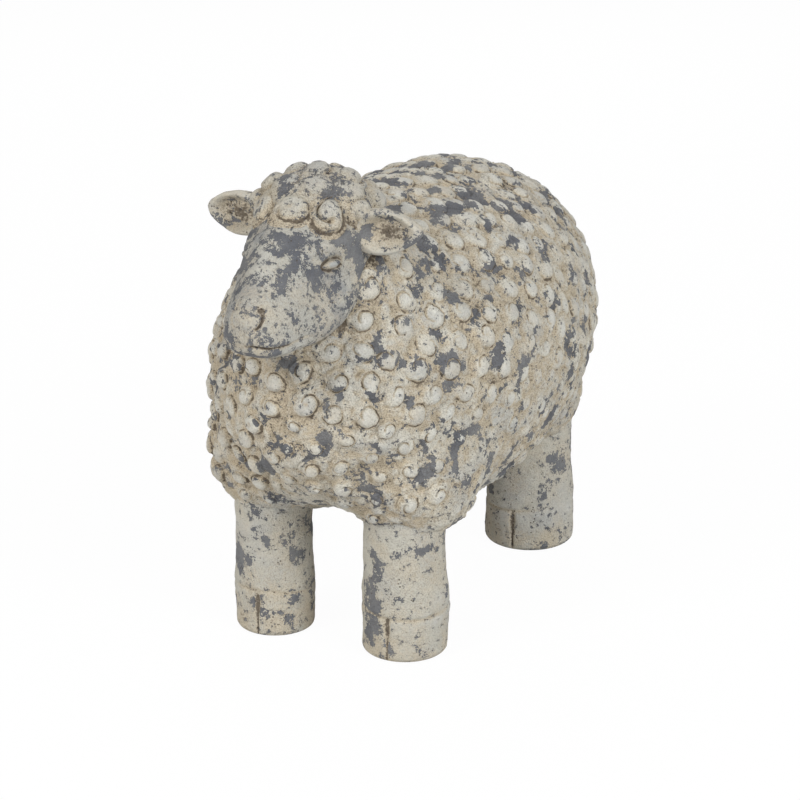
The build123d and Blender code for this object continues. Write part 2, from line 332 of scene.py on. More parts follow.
def globe(rings: int, turn: int, axis: Array, side: Array) -> Array:
    """Directions on a ball, ring by ring from the front of an axis to its back, then the two ends.

    Args:
        rings: How many rings.
        turn: How many directions each ring has.
        axis: Unit vector to the first end.
        side: Unit vector across the axis.

    Returns:
        Unit vectors, one per row.
    """
    fall = (np.arange(rings) + 1) / (rings + 1) * math.pi
    around = np.arange(turn) / turn * 2 * math.pi
    other = np.cross(axis, side)
    flat = np.cos(around)[:, None] * side + np.sin(around)[:, None] * other
    grid = np.cos(fall)[:, None, None] * axis + np.sin(fall)[:, None, None] * flat
    return np.concatenate([grid.reshape(-1, 3), [axis, -axis]])


@dataclass
class FleeceForm:
    """The whole woolly form: the barrel melted together with the neck, the shoulders and the haunches.

    Attributes:
        centre: Middle of the barrel.
        barrel: Half sizes of the barrel.
        tilt: How far the rump is lifted, in degrees.
        neck_offset: From the barrel's middle to the neck's.
        neck_radius: Half width of the neck ball.
        shoulder_radius: Half width of a shoulder ball.
        haunch_radius: Half width of a haunch ball.
        shoulder: Shoulder ball on the left.
        haunch: Haunch ball on the left.
        fillet: How softly the balls melt into the barrel.
        withers_offset: From the barrel's middle to the middle of the dip beside the withers, on the left.
        withers_dip: Depth of that dip.
        withers_reach: How far the dip spreads.
        brisket_offset: From the barrel's middle to the top of the arch between the front legs.
        brisket_dip: Depth of that arch.
        brisket_reach: How far the arch spreads.
    """

    centre: Array
    shoulder: Array
    haunch: Array
    barrel: tuple[float, float, float] = (150.0, 245.0, 150.0)
    tilt: float = 2.5
    neck_offset: tuple[float, float, float] = (0.0, -157.0, 77.0)
    neck_radius: float = 75.0
    shoulder_radius: float = 56.0
    haunch_radius: float = 47.0
    fillet: float = 30.0
    withers_offset: tuple[float, float, float] = (42.0, 20.0, 136.0)
    withers_dip: float = 10.0
    withers_reach: float = 70.0
    brisket_offset: tuple[float, float, float] = (0.0, -150.0, -125.0)
    brisket_dip: float = 11.0
    brisket_reach: float = 42.0

    @property
    def lean(self) -> Array:
        """The barrel's own axes as columns.

        Returns:
            A turning matrix.
        """
        return np.array(Matrix.Rotation(math.radians(self.tilt), 3, "X"))

    def distance(self, points: Array) -> Array:
        """Rough distance to the woolly form.

        Args:
            points: Places, one per row.

        Returns:
            Distances, below zero inside.
        """
        local = (points - self.centre) @ self.lean
        body = oval_distance(local, np.array(self.barrel))
        neck = np.linalg.norm(points - self.centre - np.array(self.neck_offset), axis=1) - self.neck_radius
        body = melt(body, neck, self.fillet)
        mirrored = np.abs(points[:, :1]) * (1, 0, 0) + points * (0, 1, 1)
        for ball, radius in ((self.shoulder, self.shoulder_radius), (self.haunch, self.haunch_radius)):
            body = melt(body, np.linalg.norm(mirrored - ball, axis=1) - radius, self.fillet)
        withers = np.linalg.norm(mirrored - self.centre - np.array(self.withers_offset), axis=1)
        brisket = np.linalg.norm(points - self.centre - np.array(self.brisket_offset), axis=1)
        body = body + self.brisket_dip * bell(brisket, self.brisket_reach)
        return body + self.withers_dip * bell(withers, self.withers_reach)

    def ground(self, points: Array) -> Array:
        """Height of the rough ground between the curls.

        Args:
            points: Places on the smooth form, one per row.

        Returns:
            Heights in millimetres.
        """
        lumps = 1.1 * clay_noise(points, 26, 11) + 0.9 * clay_noise(points, 10, 12)
        return lumps + 1.25 * clay_noise(points, 6.0, 13) + 0.8 * clay_noise(points, 3.4, 14)


@dataclass
class CurlBed:
    """Where the curls of one surface stand, and how each is shaped.

    Attributes:
        field: Distance field of the surface.
        ground: Height of the ground round the curls.
        places: Middle of each curl on the surface.
        normals: Outward direction at each middle.
        radii: Half width of each curl.
        heights: How far each curl stands out.
        seed: Number that picks the spread of shapes.
        rings: Rings of corners from the middle of a curl to its skirt.
        turn: Corners in each ring.
        skirt: Where a curl's mesh ends, as a share of its radius.
        groove_depth: Depth of the groove as a share of the curl's height.
        sink: How far the ground under a curl is pressed in.
        lean: How far a curl runs out flat on its soft side, 0 to 1.
        level: Mean height of the ground.
    """

    field: Field
    ground: Field
    places: Array
    normals: Array
    radii: Array
    heights: Array
    seed: int
    rings: int = 20
    turn: int = 40
    skirt: float = 1.42
    groove_depth: float = 0.75
    sink: float = 2.8
    lean: float = 1.0
    level: float = 0.0

    def __post_init__(self) -> None:
        """Draw the shapes of all curls at once from the seed."""
        count = len(self.places)
        draw = np.random.default_rng(self.seed)
        self.turns = draw.uniform(0.75, 1.3, count)
        self.hands = np.where(draw.random(count) < 0.72, 1.0, -1.0)
        self.rims = np.where(draw.random(count) < 0.4, draw.uniform(0.4, 1.0, count), 0.0)
        self.craters = np.where(draw.random(count) < 0.12, draw.uniform(0.2, 0.45, count), 0.0)
        self.coils = draw.uniform(0.35, 1.0, count)
        self.shade = draw.normal(0, 0.75, count)
        self.stretch = draw.uniform(0.88, 1.14, count)
        down = np.tile([0.8, 0.45, -0.5], (count, 1))
        self.down = unit(down - self.normals * np.sum(down * self.normals, axis=1)[:, None])
        self.across = np.cross(self.normals, self.down)

    def sunk(self, points: Array) -> tuple[Array, Array]:
        """How far the ground under the curls is pressed in.

        Args:
            points: Places on the surface, one per row.

        Returns:
            Depths in millimetres, and the distance to the nearest curl in its own radii.
        """
        tree = KDTree(len(self.places))
        for number, place in enumerate(self.places):
            tree.insert(place, number)
        tree.balance()
        near = np.empty(len(points))
        for number, point in enumerate(points):
            _, index, distance = tree.find(point)
            near[number] = distance / self.radii[index]
        return self.sink * (1 - ease(1.02, 1.28, near)), near

    def shells(self, groups: dict[str, Array]) -> dict[str, Shell]:
        """Build every curl as a closed button and collect them by group.

        Args:
            groups: Numbers of the curls in each named group.

        Returns:
            One shell per group.
        """
        count, rings, turn = len(self.places), self.rings, self.turn
        share = ((np.arange(rings) + 1) / rings) ** 0.85 * self.skirt
        angle = np.arange(turn) / turn * 2 * math.pi
        wide = self.radii[:, None, None] * share[None, :, None]
        flat_u = (wide * np.cos(angle) * self.stretch[:, None, None])[..., None] * self.down[:, None, None]
        sideways = wide * np.sin(angle) / self.stretch[:, None, None]
        flat_v = sideways[..., None] * self.across[:, None, None]
        grid = (self.places[:, None, None] + flat_u + flat_v).reshape(-1, 3)
        base, normal = settle(self.field, np.concatenate([grid, self.places]))
        spread = np.broadcast_to(share[None, :, None], (count, rings, turn))
        s = np.concatenate([spread.ravel(), np.zeros(count)])
        theta = np.concatenate([np.broadcast_to(angle, (count, rings, turn)).ravel(), np.zeros(count)])
        owner = np.concatenate([np.repeat(np.arange(count), rings * turn), np.arange(count)])
        height, hollow, rubbed = self.relief(s, theta, owner, base)
        top = base + normal * height[:, None]
        floor = self.places - self.normals * (self.sink + 2.5)
        rim = top[: count * rings * turn].reshape(count, rings, turn, 3)
        under = rim[:, -1] - self.normals[:, None] * (self.sink + 2)
        solids = np.concatenate([rim, under[:, None]], axis=1).reshape(count, -1, 3)
        solids = np.concatenate([solids, top[count * rings * turn :, None], floor[:, None]], axis=1)
        marks = []
        for values in (hollow, rubbed):
            body = values[: count * rings * turn].reshape(count, -1)
            marks.append(
                np.concatenate(
                    [body, np.zeros((count, turn)), values[count * rings * turn :, None], np.zeros((count, 1))], 1
                )
            )
        quads, fans = ring_polygons(rings + 1, turn)
        stride = (rings + 1) * turn + 2
        made = {}
        for name, numbers in groups.items():
            offset = (np.arange(len(numbers)) * stride)[:, None, None]
            made[name] = Shell(
                solids[numbers].reshape(-1, 3),
                [
                    (quads[None] + offset).reshape(-1, 4)[:, ::-1],
                    (fans[None] + offset).reshape(-1, 3)[:, ::-1],
                ],
                marks[0][numbers].ravel(),
                marks[1][numbers].ravel(),
            )
        return made

    def relief(self, s: Array, theta: Array, owner: Array, base: Array) -> tuple[Array, Array, Array]:
        """Height of the curls over the smooth surface, with their spiral grooves.

        Args:
            s: Distance from the curl's middle in its own radii.
            theta: Angle round the curl.
            owner: Number of the curl that each place belongs to.
            base: The place on the smooth surface.

        Returns:
            Heights in millimetres, how hollow and how exposed each place is.
        """
        tall = self.heights[owner]
        ground = self.ground(base)
        uneven = 0.15 * clay_noise(base, 12, self.seed + 3)
        wobble = s * (1 + uneven + 0.09 * clay_noise(base, 5, self.seed + 4))
        facing = np.cos(theta - self.shade[owner])
        soft = self.lean * ease(0.35, -0.9, facing)
        reach = np.clip(wobble / (0.96 + 0.42 * soft), 0, 1)
        dome = tall * np.clip(1 - reach ** (2.5 - 0.9 * soft), 0, 1) ** (0.75 + 0.75 * soft)
        whole = 2 * math.pi * self.turns[owner]
        phi = (self.hands[owner] * (theta - self.shade[owner]) + 0.27 * whole) % (2 * math.pi)
        groove = np.zeros(len(s))
        for lap in (0, 1):
            part = (phi + 2 * math.pi * lap) / whole
            inner = ease(0.4, 1.0, part)
            fade = ease(0.0, 0.14, part) * ease(1.0, 0.85, part)
            fade = fade * (1 - inner * (1 - 0.8 * self.coils[owner]))
            groove = np.maximum(groove, fade * bell(wobble - 0.9 + 0.58 * inner, 0.08))
        crumble = np.clip(0.95 + 0.8 * clay_noise(base, 5, self.seed + 6, 2), 0.25, 1.5)
        rim = self.rims[owner] * soft * bell(wobble - 1.06, 0.13)
        crater = self.craters[owner] * bell(wobble, 0.25)
        outside = ease(0.8, 1.15, wobble)
        height = dome * (1 - self.groove_depth * groove) - 1.5 * groove * outside + 0.3 * tall * rim
        grain = 0.16 * clay_noise(base, 2.2, self.seed + 5)
        height += ground * (0.25 + 0.75 * outside) - tall * crater + grain
        height -= 1.4 * ease(1.27, self.skirt, s)
        apron = ease(0.5, 1.15, wobble)
        rough = ground - self.level
        faint = np.clip(tall / 5.0, 0.4, 1.0)
        # Painted shade, with dust, in the spiral grooves, the craters and the low ground round each curl.
        beside = 0.3 - 0.26 * rough + 0.12 * (1 - ease(1.0, 1.7, s))
        hollow = 1.25 * groove * crumble * faint + crater * 1.2 + apron * beside
        rubbed = np.clip(dome / tall - groove, 0, 1) ** 1.3 * (1 - apron) + apron * (0.25 + 0.2 * rough)
        return height, hollow, rubbed


@dataclass
class Fleece:
    """The woolly body in two halves, and the curls pressed on it.

    Attributes:
        form: The smooth form.
        head: Distance field of the head, which the curls keep clear of.
        legs: Axis and radius of each leg, which the curls keep clear of.
        tail: Distance field of the tail.
        pitch: Distance between neighbouring curls.
        curl_radius: Half width of a middle-sized curl.
        curl_height: How far a curl stands out.
        underside: Below this slope the belly is bare.
        collar: How far round the neck and the leg tops their own groups of curls reach.
        detail: How often the ball that the body starts from is divided.
    """

    form: FleeceForm
    head: Field
    legs: list[tuple[float, float, float]]
    tail: Field
    pitch: float = 27.0
    curl_radius: float = 9.4
    curl_height: float = 5.8
    underside: float = -0.72
    collar: float = 28.0
    detail: int = 8

    def lattice(self) -> tuple[Array, Array]:
        """Even spread of places on the barrel, as the CAD model lays its curls.

        Returns:
            Directions from the barrel's middle, and each place's number.
        """
        wide, long = self.form.barrel[0], self.form.barrel[1]
        slices = 400
        stations = long * (2 * np.arange(slices + 1) / slices - 1)
        rings = wide * np.sqrt(np.clip(1 - (stations / long) ** 2, 0, 1))
        strips = math.pi * (rings[1:] + rings[:-1]) * np.hypot(np.diff(stations), np.diff(rings))
        area = np.concatenate([[0], np.cumsum(strips)])
        count = round(area[-1] / (self.pitch**2 * math.sqrt(3) / 2))
        number = np.arange(count)
        along = np.interp((number + 0.5) / count * area[-1], area, stations)
        turn = number * GOLDEN_ANGLE
        reach = wide * np.sqrt(1 - (along / long) ** 2)
        offset = np.stack([np.cos(turn) * reach, along, np.sin(turn) * reach], axis=1)
        return unit(offset @ self.form.lean.T), number

    def bed(self) -> tuple[CurlBed, dict[str, Array]]:
        """Lay out the curls over the whole woolly form.

        Returns:
            The bed of curls, and the numbers of the curls in each named group.
        """
        form = self.form
        directions, number = self.lattice()
        places = cast(form.distance, form.centre, directions, 420)
        draw = np.random.default_rng(5)
        places = places + draw.normal(0, 1.8, places.shape)
        places, normals = settle(form.distance, places)
        keep = (normals[:, 2] > self.underside) & (self.head(places) > 3) & (self.tail(places) > 6)
        for x, y, radius in self.legs:
            beside = np.hypot(places[:, 0] - x, places[:, 1] - y)
            keep &= (beside > radius + 7) | (places[:, 2] > form.centre[2] - 60)
        places, normals, number = places[keep], normals[keep], number[keep]
        size = 0.82 + 0.16 * np.floor(number * GOLDEN_SHARE % 1 * 3) + draw.normal(0, 0.09, len(number))
        flat = ease(0.45, 0.85, normals[:, 2])
        radii = self.curl_radius * size * (1 + 0.12 * flat)
        heights = self.curl_height * size * (1 - 0.28 * flat) * draw.uniform(0.65, 1.2, len(number))
        beside = ease(0.35, 0.8, np.abs(normals[:, 0])) * ease(-0.7, -0.2, normals[:, 1])
        heights = heights * (1 - 0.1 * ease(-0.75, -0.1, normals[:, 1])) * (1 - 0.42 * beside)
        bed = CurlBed(form.distance, form.ground, places, normals, radii, heights, 21)
        groups: dict[str, list[int]] = {}
        from_neck = np.linalg.norm(places - form.centre - np.array(form.neck_offset), axis=1)
        neck = from_neck < form.neck_radius + self.collar
        for index, (place, normal) in enumerate(zip(places, normals)):
            groups.setdefault(self.zone(place, normal, bool(neck[index])), []).append(index)
        return bed, {name: np.array(numbers) for name, numbers in groups.items()}

    def zone(self, place: Array, normal: Array, on_neck: bool) -> str:
        """The CAD node that a curl belongs to.

        Args:
            place: Middle of the curl.
            normal: Outward direction there.
            on_neck: True if the curl stands on the neck.

        Returns:
            The node's name.
        """
        form = self.form
        balls = ((form.shoulder, form.shoulder_radius), (form.haunch, form.haunch_radius))
        mirrored = np.array([abs(place[0]), place[1], place[2]])
        if on_neck:
            return "neck_curls"
        if any(np.linalg.norm(mirrored - ball) < radius + self.collar for ball, radius in balls):
            return "leg_top_curls"
        if normal[1] < -0.55:
            return "chest_curls"
        if normal[1] > 0.55:
            return "rump_curls"
        if normal[2] > 0.75:
            return "back_curls"
        return "left_flank_curls" if place[0] > 0 else "right_flank_curls"

    def half_ball(self) -> tuple[Array, list[Array]]:
        """Half of an evenly divided ball on the +X side, closed by a flat wall.

        Returns:
            Unit vectors, and the polygons by size.
        """
        ball = bmesh.new()
        bmesh.ops.create_icosphere(ball, subdivisions=self.detail, radius=1)
        everything = [*ball.verts, *ball.edges, *ball.faces]
        bmesh.ops.bisect_plane(
            ball, geom=everything, dist=1e-5, plane_co=(0, 0, 0), plane_no=(1, 0, 0), clear_inner=True
        )
        bmesh.ops.holes_fill(ball, edges=[e for e in ball.edges if e.is_boundary], sides=0)
        ball.verts.index_update()
        points = np.array([v.co for v in ball.verts])
        polygons: dict[int, list[list[int]]] = {}
        for face in ball.faces:
            polygons.setdefault(len(face.verts), []).append([v.index for v in face.verts])
        ball.free()
        return points, [np.array(p) for p in polygons.values()]

    def build(self, ground_finish: bpy.types.Material, curl_finish: bpy.types.Material) -> None:
        """Make the two halves of the body and every group of curls.

        Args:
            ground_finish: Material of the ground between the curls.
            curl_finish: Material of the curls.
        """
        form = self.form
        bed, groups = self.bed()
        half, polygons = self.half_ball()
        for side in Side:
            directions = half * (side.value, 1, 1)
            directions = unit((directions * np.array(form.barrel)) @ form.lean.T)
            points = cast(form.distance, form.centre, directions, 420)
            normals = outward(form.distance, points)
            ground = form.ground(points)
            sunk, near = bed.sunk(points)
            moved = points + normals * (ground - sunk)[:, None]
            moved[np.abs(half[:, 0]) < 1e-4, 0] = 0
            # Low ground and the ground beside the curls get dust and painted shade.
            hollow = 0.3 - 0.26 * ground + 0.12 * (1 - ease(1.0, 1.7, near))
            # Painted shadow along the fleece under the head and jaw.
            hollow = hollow + 0.9 * (1 - ease(1, 13, self.head(moved)))
            rubbed = 0.25 + 0.2 * ground
            faces = polygons if side is Side.LEFT else [p[:, ::-1] for p in polygons]
            nodes = [f"body_{side.word}_half", f"{side.word}_shoulder", f"{side.word}_haunch"]
            if side is Side.LEFT:
                nodes.append("neck")
            shell = Shell(moved, faces, hollow, rubbed)
            shell.piece(f"fleece_{side.word}", ground_finish, Slot.FLEECE, *nodes)
        for name, shell in bed.shells(groups).items():
            shell.piece(f"{name}_look", curl_finish, Slot.CURL, name)


@dataclass
class Head:
    """The head: face, cap of curls and eyes.

    Attributes:
        skull: Middle of the skull.
        dip: How far the face points down, in degrees.
        rings: Rings of the mesh from the nose to the back of the skull.
        turn: Corners in each ring.
        eye_reach: How far ahead of the skull's middle the eyes sit.
        eye_rise: How far above the head's axis the eyes sit.
        eye_half: Half length and half height of an eye.
        eye_slant: Slope of the eyes, in degrees.
        mouth_rise: Height of the mouth's middle along the head's own axis.
        mouth_curve: How strongly the mouth bends down to its corners.
        cap_height: How far the woolly cap stands over the skin.
    """

    skull: Array
    dip: float = 23.0
    rings: int = 230
    turn: int = 300
    eye_reach: float = 43.0
    eye_rise: float = 15.0
    eye_half: tuple[float, float] = (12.0, 4.5)
    eye_slant: float = 26.0
    mouth_rise: float = -4.0
    mouth_curve: float = 0.0115
    cap_height: float = 2.0

    @property
    def axes(self) -> Array:
        """Sideways, ahead and upwards as rows.

        Returns:
            Three unit vectors.
        """
        sine, cosine = math.sin(math.radians(self.dip)), math.cos(math.radians(self.dip))
        return np.array([[1, 0, 0], [0, -cosine, -sine], [0, -sine, cosine]])

    def place(self, across: float, ahead: float, up: float) -> Array:
        """A place given along the head's own axes.

        Args:
            across: To the sheep's left.
            ahead: Towards the nose.
            up: Towards the crown.

        Returns:
            The place in the row frame.
        """
        return self.skull + np.array([across, ahead, up]) @ self.axes

    def smooth(self, points: Array) -> Array:
        """Rough distance to the head without its features.

        Args:
            points: Places, one per row.

        Returns:
            Distances, below zero inside.
        """
        local = (points - self.skull) @ self.axes.T
        skull = oval_distance(local - (0, -2, 0), np.array([51.0, 53.0, 51.0]))
        cheek = oval_distance(local - (0, 38, -3), np.array([43.0, 58.0, 49.0]))
        muzzle = oval_distance(local - (0, 86, -2), np.array([28.5, 46.0, 32.5]))
        face = melt(melt(skull, cheek, 14), muzzle, 16)
        mirrored = np.abs(local[:, :1]) * (1, 0, 0) + local * (0, 1, 1)
        jaw = oval_distance(mirrored - (22, 38, -20), np.array([28.5, 60.0, 24.0]))
        lips = oval_distance(mirrored - (12, 96, -9), np.array([17.0, 30.0, 17.5]))
        cap = oval_distance(local - (0, -13, 12), np.array([51.0, 47.0, 39.5]))
        return melt(melt(melt(face, jaw, 14), lips, 14), cap, 8)

    def eye_frame(self, side: Side) -> tuple[Array, Array, Array]:
        """Where an eye sits and which way it lies.

        Args:
            side: Which eye.

        Returns:
            The middle of the eye, its long and its upward direction.
        """
        start = self.place(0, self.eye_reach, self.eye_rise)
        middle = cast(self.smooth, start, np.array([[float(side.value), 0.0, 0.0]]), 200)[0]
        normal = outward(self.smooth, middle[None])[0]
        slant = math.radians(self.eye_slant)
        lay = np.array([0.0, math.cos(slant), math.sin(slant)]) @ self.axes
        lay = unit(lay - normal * (lay @ normal))
        up = np.cross(normal, lay) * side.value
        up = up if up[2] > 0 else -up
        return middle, lay, up

    def features(self, points: Array) -> tuple[Array, Array, Array]:
        """Height of the face's features over the smooth head.

        Args:
            points: Places on the smooth head, one per row.

        Returns:
            Heights in millimetres, how hollow each place is, and how exposed it is with a painted highlight on the
            cheeks.
        """
        local = (points - self.skull) @ self.axes.T
        x, a, y = local.T
        height = 0.7 * clay_noise(points, 30, 41) + 0.35 * clay_noise(points, 9, 42, 2)
        # Low places of the face get dust and painted shade.
        hollow = 0.1 - 0.25 * height
        cheek = np.zeros(len(points))
        for side in Side:
            middle, lay, up = self.eye_frame(side)
            off = points - middle
            near = np.linalg.norm(off, axis=1) < 45
            u, v = off @ lay, off @ up
            long, high = self.eye_half
            lid = high * np.sqrt(np.clip(1 - (u / long) ** 2, 0, 1)) ** 1.4
            edge = np.hypot(np.clip(np.abs(u) - long * 0.9, 0, None), np.abs(v) - lid)
            line = bell(edge, 1.5) * near * (np.abs(u) < long * 1.25)
            ball = np.clip(1 - (u / long) ** 2 - (v / high) ** 2, 0, 1) * near
            brow = bell(v - 13, 6) * bell(u - 2, 16) * near
            socket = bell(np.hypot(u * 0.7, v), 13) * near
            fold = bell(v - lid - 3.2, 1.7) * ease(long * 1.25, long * 0.8, np.abs(u)) * near
            pouch = bell(v + lid + 4.0, 2.2) * ease(long * 1.2, long * 0.7, np.abs(u)) * near
            height += 2.4 * brow - 2.8 * socket + 2.6 * ball**0.6 - 2.0 * line + 1.7 * fold + 0.9 * pouch
            # Painted shade and dust in the groove round the eye.
            hollow += 1.8 * line * np.clip(0.8 + 0.5 * clay_noise(points, 4, 49), 0.5, 1)
            nose = local - np.array([side.value * 8.0, 121.0, 15.0])
            arch = np.hypot(nose[:, 0], nose[:, 2]) - 5.5
            wing = bell(np.linalg.norm(nose, axis=1), 11)
            slit = bell(arch, 1.3) * ease(-2, 3, nose[:, 0] * side.value) * (a > 95)
            worn = 1.0 if side is Side.LEFT else 0.35
            height += worn * (1.2 * wing - 2.6 * slit)
            # Painted shade and dust in the nostril slits.
            hollow += worn * 1.9 * slit * np.clip(0.85 + 0.5 * clay_noise(points, 3, 47), 0.4, 1)
            hollow_side = np.linalg.norm(local - np.array([side.value * 37.0, 70.0, 0.0]), axis=1)
            height -= 2.2 * bell(hollow_side, 17)
            # Painted highlight: the cheeks are lightened through their exposure mark.
            cheek += bell(np.linalg.norm(local - np.array([side.value * 38.0, 45.0, -16.0]), axis=1), 30)
        line_up = self.mouth_rise - self.mouth_curve * x**2
        mouth = bell(y - line_up, 1.5) * ease(86, 102, a) * (0.15 + 0.85 * ease(-3, 9, x))
        lip = bell(y - line_up - 5, 4) * ease(90, 108, a)
        chin = bell(y - line_up + 6, 5) * ease(85, 105, a)
        height += -2.3 * mouth + 0.9 * lip + 1.3 * chin
        # Painted shade and dust in the mouth line.
        hollow += 1.4 * mouth * np.clip(0.75 + 0.7 * clay_noise(points, 6, 48), 0.2, 1.2)
        cleft = bell(x, 1.3) * bell(y - 8, 5) * ease(110, 122, a)
        height -= 0.9 * cleft
        bridge = bell(x, 12) * bell(a - 80, 36) * ease(0, 15, y)
        height += 1.6 * bridge
        fringe = -(a - 20 + 0.01 * x**2) + 3 * clay_noise(points, 16, 44)
        cap = ease(-4, 4, fringe) * ease(-6, 10, y + 0.3 * (20 - a))
        cap_lumps = 1.1 * clay_noise(points, 12, 45) + 0.7 * clay_noise(points, 5, 46)
        height += self.cap_height * cap + cap * cap_lumps
        # The cheek term adds the painted highlight on the cheeks.
        rubbed = 0.35 + 0.25 * height + 0.6 * cheek
        return height, hollow + 0.2 * cap, rubbed

    def crown(self) -> tuple[CurlBed, dict[str, Array]]:
        """The large forelock curl and the curls round it.

        Returns:
            The bed of curls, and its one group.
        """
        spots = [
            (0, 24, 50, 17.0), (29, 17, 43, 16.0), (-29, 18, 43, 14.0), (46, -4, 34, 11.0), (-46, -4, 34, 11.0),
            (-18, -4, 57, 15.0), (12, -6, 57, 15.0), (36, -14, 46, 14.0), (-38, -16, 45, 13.0), (0, -32, 54, 14.0),
            (24, -36, 44, 12.0), (-24, -38, 44, 12.0), (47, -34, 24, 11.5), (-47, -34, 24, 11.5), (0, -56, 30, 12.0),
            (28, -54, 18, 11.0), (-28, -54, 18, 11.0),
        ]
        centre = self.place(0, 0, 0)
        toward = unit(np.array([spot[:3] for spot in spots]) @ self.axes)
        places = cast(self.smooth, centre, toward, 200)
        places, normals = settle(self.smooth, places)
        radii = np.array([spot[3] for spot in spots])
        heights = np.where(normals[:, 2] > 0.8, 6.6, 8.6)
        bed = CurlBed(self.smooth, lambda p: self.features(p)[0], places, normals, radii, heights, 61, 20, 48)
        bed.groove_depth = 1.0
        bed.lean = 0.4
        bed.level = self.cap_height
        bed.coils[:] = 0.0
        bed.coils[1] = 1.0
        bed.turns[:] = 0.8
        bed.turns[1] = 1.6
        return bed, {"crown_curls": np.arange(len(spots))}

    def build(self, skin: bpy.types.Material, eye: bpy.types.Material, curl: bpy.types.Material) -> None:
        """Make the head, the eyes and the crown of curls.

        Args:
            skin: Material of the smooth face.
            eye: Material of the eyes.
            curl: Material of the curls.
        """
        axes = self.axes
        rings, turn = self.rings, self.turn
        directions = globe(rings, turn, axes[1], axes[0])
        start = self.place(0, 42, 0)
        points = cast(self.smooth, start, directions, 220)
        normals = outward(self.smooth, points)
        height, hollow, rubbed = self.features(points)
        bed, groups = self.crown()
        sunk, _ = bed.sunk(points)
        moved = points + normals * (height - sunk)[:, None]
        quads, fans = ring_polygons(rings, turn)
        shell = Shell(moved, [quads[:, ::-1], fans[:, ::-1]], hollow, rubbed)
        shell.piece("head_look", skin, Slot.SKIN, "head")
        for name, shell in bed.shells(groups).items():
            shell.piece(f"{name}_look", curl, Slot.CURL, name)
        for side in Side:
            self.eye(side, eye)

    def eye(self, side: Side, finish: bpy.types.Material) -> None:
        """Make one almond pellet of an eye.

        Args:
            side: Which eye.
            finish: Its material.
        """
        middle, lay, up = self.eye_frame(side)
        normal = np.cross(lay, up)
        normal = normal if normal[0] * side.value > 0 else -normal
        long, high = self.eye_half
        rings, turn = 40, 60
        ball = globe(rings, turn, lay, up)
        u, v, w = ball @ lay, ball @ up, ball @ normal
        taper = 1 - 0.25 * u * u
        points = middle - normal * 3.2 + np.outer(u * (long - 2.2), lay)
        points = points + np.outer(v * (high - 1.2) * taper, up)
        points = points + np.outer(w * 4.6 * taper, normal)
        points = points + normal * 0.2 * clay_noise(points, 4, 51)[:, None]
        quads, fans = ring_polygons(rings, turn)
        if np.cross(lay, up) @ normal < 0:
            quads, fans = quads[:, ::-1], fans[:, ::-1]
        # Painted shade darkens the pellet's edge where it meets the socket.
        rim = np.clip(np.hypot(u, v) * 1.1 - 0.35, 0, 1)
        Shell(points, [quads[:, ::-1], fans[:, ::-1]], rim, 1 - rim).piece(
            f"{side.word}_eye_look", finish, Slot.EYE, f"{side.word}_eye"
        )


@dataclass
class Ear:
    """A cupped ear that stands out sideways.

    Attributes:
        side: Which ear.
        middle: Middle of the ear.
        half: Half length, thickness and height.
        cup: Depth of the hollow in front.
        cup_shift: How far the hollow lies towards the tip, as a share of the half length.
        lift: How far the tip is raised over the root, in millimetres.
    """

    side: Side
    middle: Array
    half: tuple[float, float, float] = (37.0, 8.5, 18.5)
    cup: float = 9.5
    cup_shift: float = 0.22
    lift: float = 2.0

    def build(self, skin: bpy.types.Material) -> None:
        """Make the ear.

        Args:
            skin: Its material.
        """
        rings, turn = 110, 130
        ball = globe(rings, turn, np.array([0.0, -1.0, 0.0]), np.array([1.0, 0.0, 0.0]))
        along, thick, tall = ball.T
        reach = np.hypot((along - self.cup_shift) / (1 - self.cup_shift), tall)
        narrow = 1 - 0.25 * np.clip(along, 0, 1) ** 2 - 0.12 * np.clip(-along, 0, 1) ** 2
        slab = np.sign(thick) * np.abs(thick) ** 0.55
        points = np.stack([along * self.half[0], slab * self.half[1], tall * self.half[2] * narrow], 1)
        front = thick < 0
        dish = self.cup * (1 - ease(0.42, 0.9, reach)) * front
        points[:, 1] += dish
        points[:, 2] += self.lift * along
        points[:, 1] += 3.0 * along**2
        rough = points + 100 * (self.side is Side.RIGHT)
        lumps = 0.8 * clay_noise(rough, 16, 71) + 0.45 * clay_noise(rough, 5, 72, 2)
        points = points + ball * lumps[:, None]
        points = points * (self.side.value, 1, 1) + self.middle
        quads, fans = ring_polygons(rings, turn)
        if self.side is Side.LEFT:
            quads, fans = quads[:, ::-1], fans[:, ::-1]
        # Painted shade darkens the cup and a painted highlight lightens the front rim.
        deep = 0.5 + 0.75 * bell(reach, 0.36) + 0.3 * clay_noise(rough, 3, 73, 2)
        hollow = np.clip(dish / self.cup, 0, 1) * deep + 0.15
        rim = bell(reach - 0.95, 0.16) * front
        Shell(points, [quads, fans], hollow, 0.4 - hollow + 0.6 * rim).piece(
            f"{self.side.word}_ear_look", skin, Slot.SKIN, f"{self.side.word}_ear"
        )


